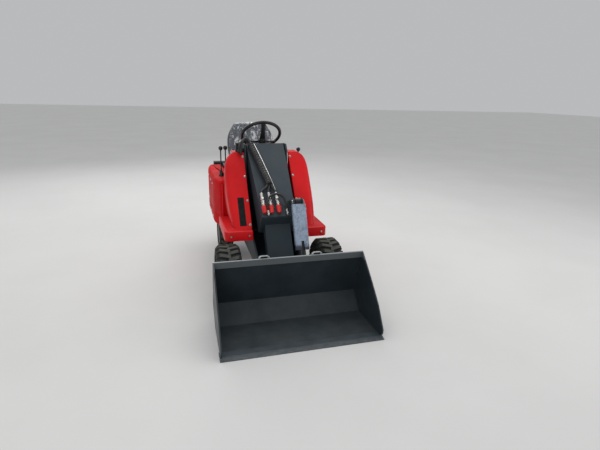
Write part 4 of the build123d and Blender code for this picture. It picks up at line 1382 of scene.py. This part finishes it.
class LOADER_OT_welds(bpy.types.Operator):
    """Weld beads on the boom, the tower, the hitch and the bucket"""

    bl_idname = "loader.welds"
    bl_label = "Welds"

    def execute(self, context):
        radius = context.scene.loader_look.weld_radius
        boom = Form()
        boom.bead([on_boom(-0.112, LIP_S, -0.0115), on_boom(0.112, LIP_S, -0.0115)], radius, 3)
        for x in (TILT_X - 0.0375, TILT_X - 0.0245):
            boom.bead([on_boom(x, 0.512, 0.001), on_boom(x, 0.596, 0.001)], radius * 0.9, int(x * 1000))
        boom.piece("boom_welds", "boom", "dark_enamel", "dark_paint", 60)

        bucket = Form()
        inner = 0.4765
        route = [(0.085, 0.0085), (0.3615, 0.0085), (0.477, 0.1126), (0.3805, 0.428)]
        for side in (-1, 1):
            line = [machine(side * inner, b, h) for b, h in route]
            bucket.bead(line, radius, 11 + side)
        bucket.bead([machine(-0.484, 0.0805, 0.0105), machine(0.484, 0.0805, 0.0105)], radius, 31)
        bucket.bead([machine(-0.47, 0.379, 0.3925), machine(0.47, 0.379, 0.3925)], radius * 0.8, 37)
        bucket.piece("bucket_welds", "bucket", "bucket_enamel", "bucket_paint", 60)

        hitch = Form()
        for x in (-0.1075, -0.0945, 0.0945):
            hitch.bead([machine(x, 0.4875, 0.15), machine(x, 0.431, 0.335)], radius, int(x * 2000))
        hitch.piece("hitch_welds", "bucket", "bucket_enamel", "bucket_paint", 60)

        tower = Form()
        for side in (-1, 1):
            ends = [machine(side * 0.1515, b, 0.2515) for b in (0.85, 1.36)]
            tower.bead(ends, radius, 41 + side)
        tower.piece("tower_welds", "chassis", "dark_enamel", "dark_paint", 60)
        return {"FINISHED"}


class LOADER_OT_bucket_trim(bpy.types.Operator):
    """Worn rims of the lifting ears, and near-black plates that paint the shade inside the ears"""

    bl_idname = "loader.bucket_trim"
    bl_label = "Bucket trim"

    def execute(self, context):
        worn, hole_shade = Form(), Form()
        for side in (-1, 1):
            centre = machine(side * 0.171, 0.3876, 0.428)
            arc = []
            for i in range(25):
                a = math.radians(16 + 148 * i / 24)
                x = 0.016 * (1 if i < 12 else -1) + 0.0185 * math.cos(a)
                arc.append(centre + Vector((x, 0.0, 0.0185 * math.sin(a))))
            worn.tube(arc, 0.0022, 8)
            # Near-black plate in the ear: painted shade of its hole.
            hole_shade.box(centre + Vector((0, -0.0002, 0.0105)), (0.042, 0.0016, 0.010))
        worn.piece("ear_rims", "bucket", "zinc", "edge_steel", 60)
        hole_shade.piece("ear_hole_shade", "bucket", "shade_black", "black_plastic", bevel=0.0004)

        rub = Form()
        rub.box(machine(-0.4815, 0.380, 0.4335), (0.008, 0.011, 0.0018))
        rub.piece("flange_corner", "bucket", "zinc", "edge_steel", bevel=0.0006)
        return {"FINISHED"}


class LOADER_OT_rear(bpy.types.Operator):
    """Bolts of the counterweight, the chassis and the front motors"""

    bl_idname = "loader.rear"
    bl_label = "Rear"

    def execute(self, context):
        heads = Form()
        back = Vector((0, 1, 0))
        for side in (-1, 1):
            for h in (0.42, 0.66):
                heads.bolt(machine(side * 0.2, 2.108, h), back, 0.011)
            for b, h in ((0.675, 0.27), (0.765, 0.27), (0.662, 0.165), (0.783, 0.165)):
                heads.bolt(machine(side * 0.165, b, h), ACROSS * side, 0.006)
            for b in (1.45, 1.55, 1.85, 2.0):
                heads.bolt(machine(side * 0.108, b, 0.31), ACROSS * side, 0.0075)
        heads.piece("frame_bolts", "chassis", "zinc", "bright_steel", 30)
        return {"FINISHED"}


OPERATORS = (
    LOADER_OT_stage,
    LOADER_OT_frame_finish,
    LOADER_OT_bodywork,
    LOADER_OT_hose_bundle,
    LOADER_OT_couplers,
    LOADER_OT_loop_hose,
    LOADER_OT_steering_wheel,
    LOADER_OT_levers,
    LOADER_OT_seat,
    LOADER_OT_seat_film,
    LOADER_OT_wheels,
    LOADER_OT_cylinders,
    LOADER_OT_welds,
    LOADER_OT_bucket_trim,
    LOADER_OT_rear,
)


class LOADER_PT_sidebar(bpy.types.Panel):
    """Buttons for the loader's pieces"""

    bl_idname = "LOADER_PT_sidebar"
    bl_label = "Mini wheel loader"
    bl_space_type = "VIEW_3D"
    bl_region_type = "UI"
    bl_category = "Loader"

    def draw(self, context):
        look = context.scene.loader_look
        for name in LoaderLook.__annotations__:
            self.layout.prop(look, name)
        for operator in OPERATORS:
            self.layout.operator(operator.bl_idname, text=operator.bl_label)


CLASSES = (LoaderLook, *OPERATORS, LOADER_PT_sidebar)


def register():
    for cls in CLASSES:
        bpy.utils.register_class(cls)
    bpy.types.Scene.loader_look = PointerProperty(type=LoaderLook)


def unregister():
    del bpy.types.Scene.loader_look
    for cls in reversed(CLASSES):
        bpy.utils.unregister_class(cls)


def main():
    """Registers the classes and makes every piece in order."""
    register()
    for operator in OPERATORS:
        group, name = operator.bl_idname.split(".")
        result = getattr(getattr(bpy.ops, group), name)()
        if result != {"FINISHED"}:
            raise RuntimeError(f"{operator.bl_label} did not finish")


if __name__ == "__main__":
    main()
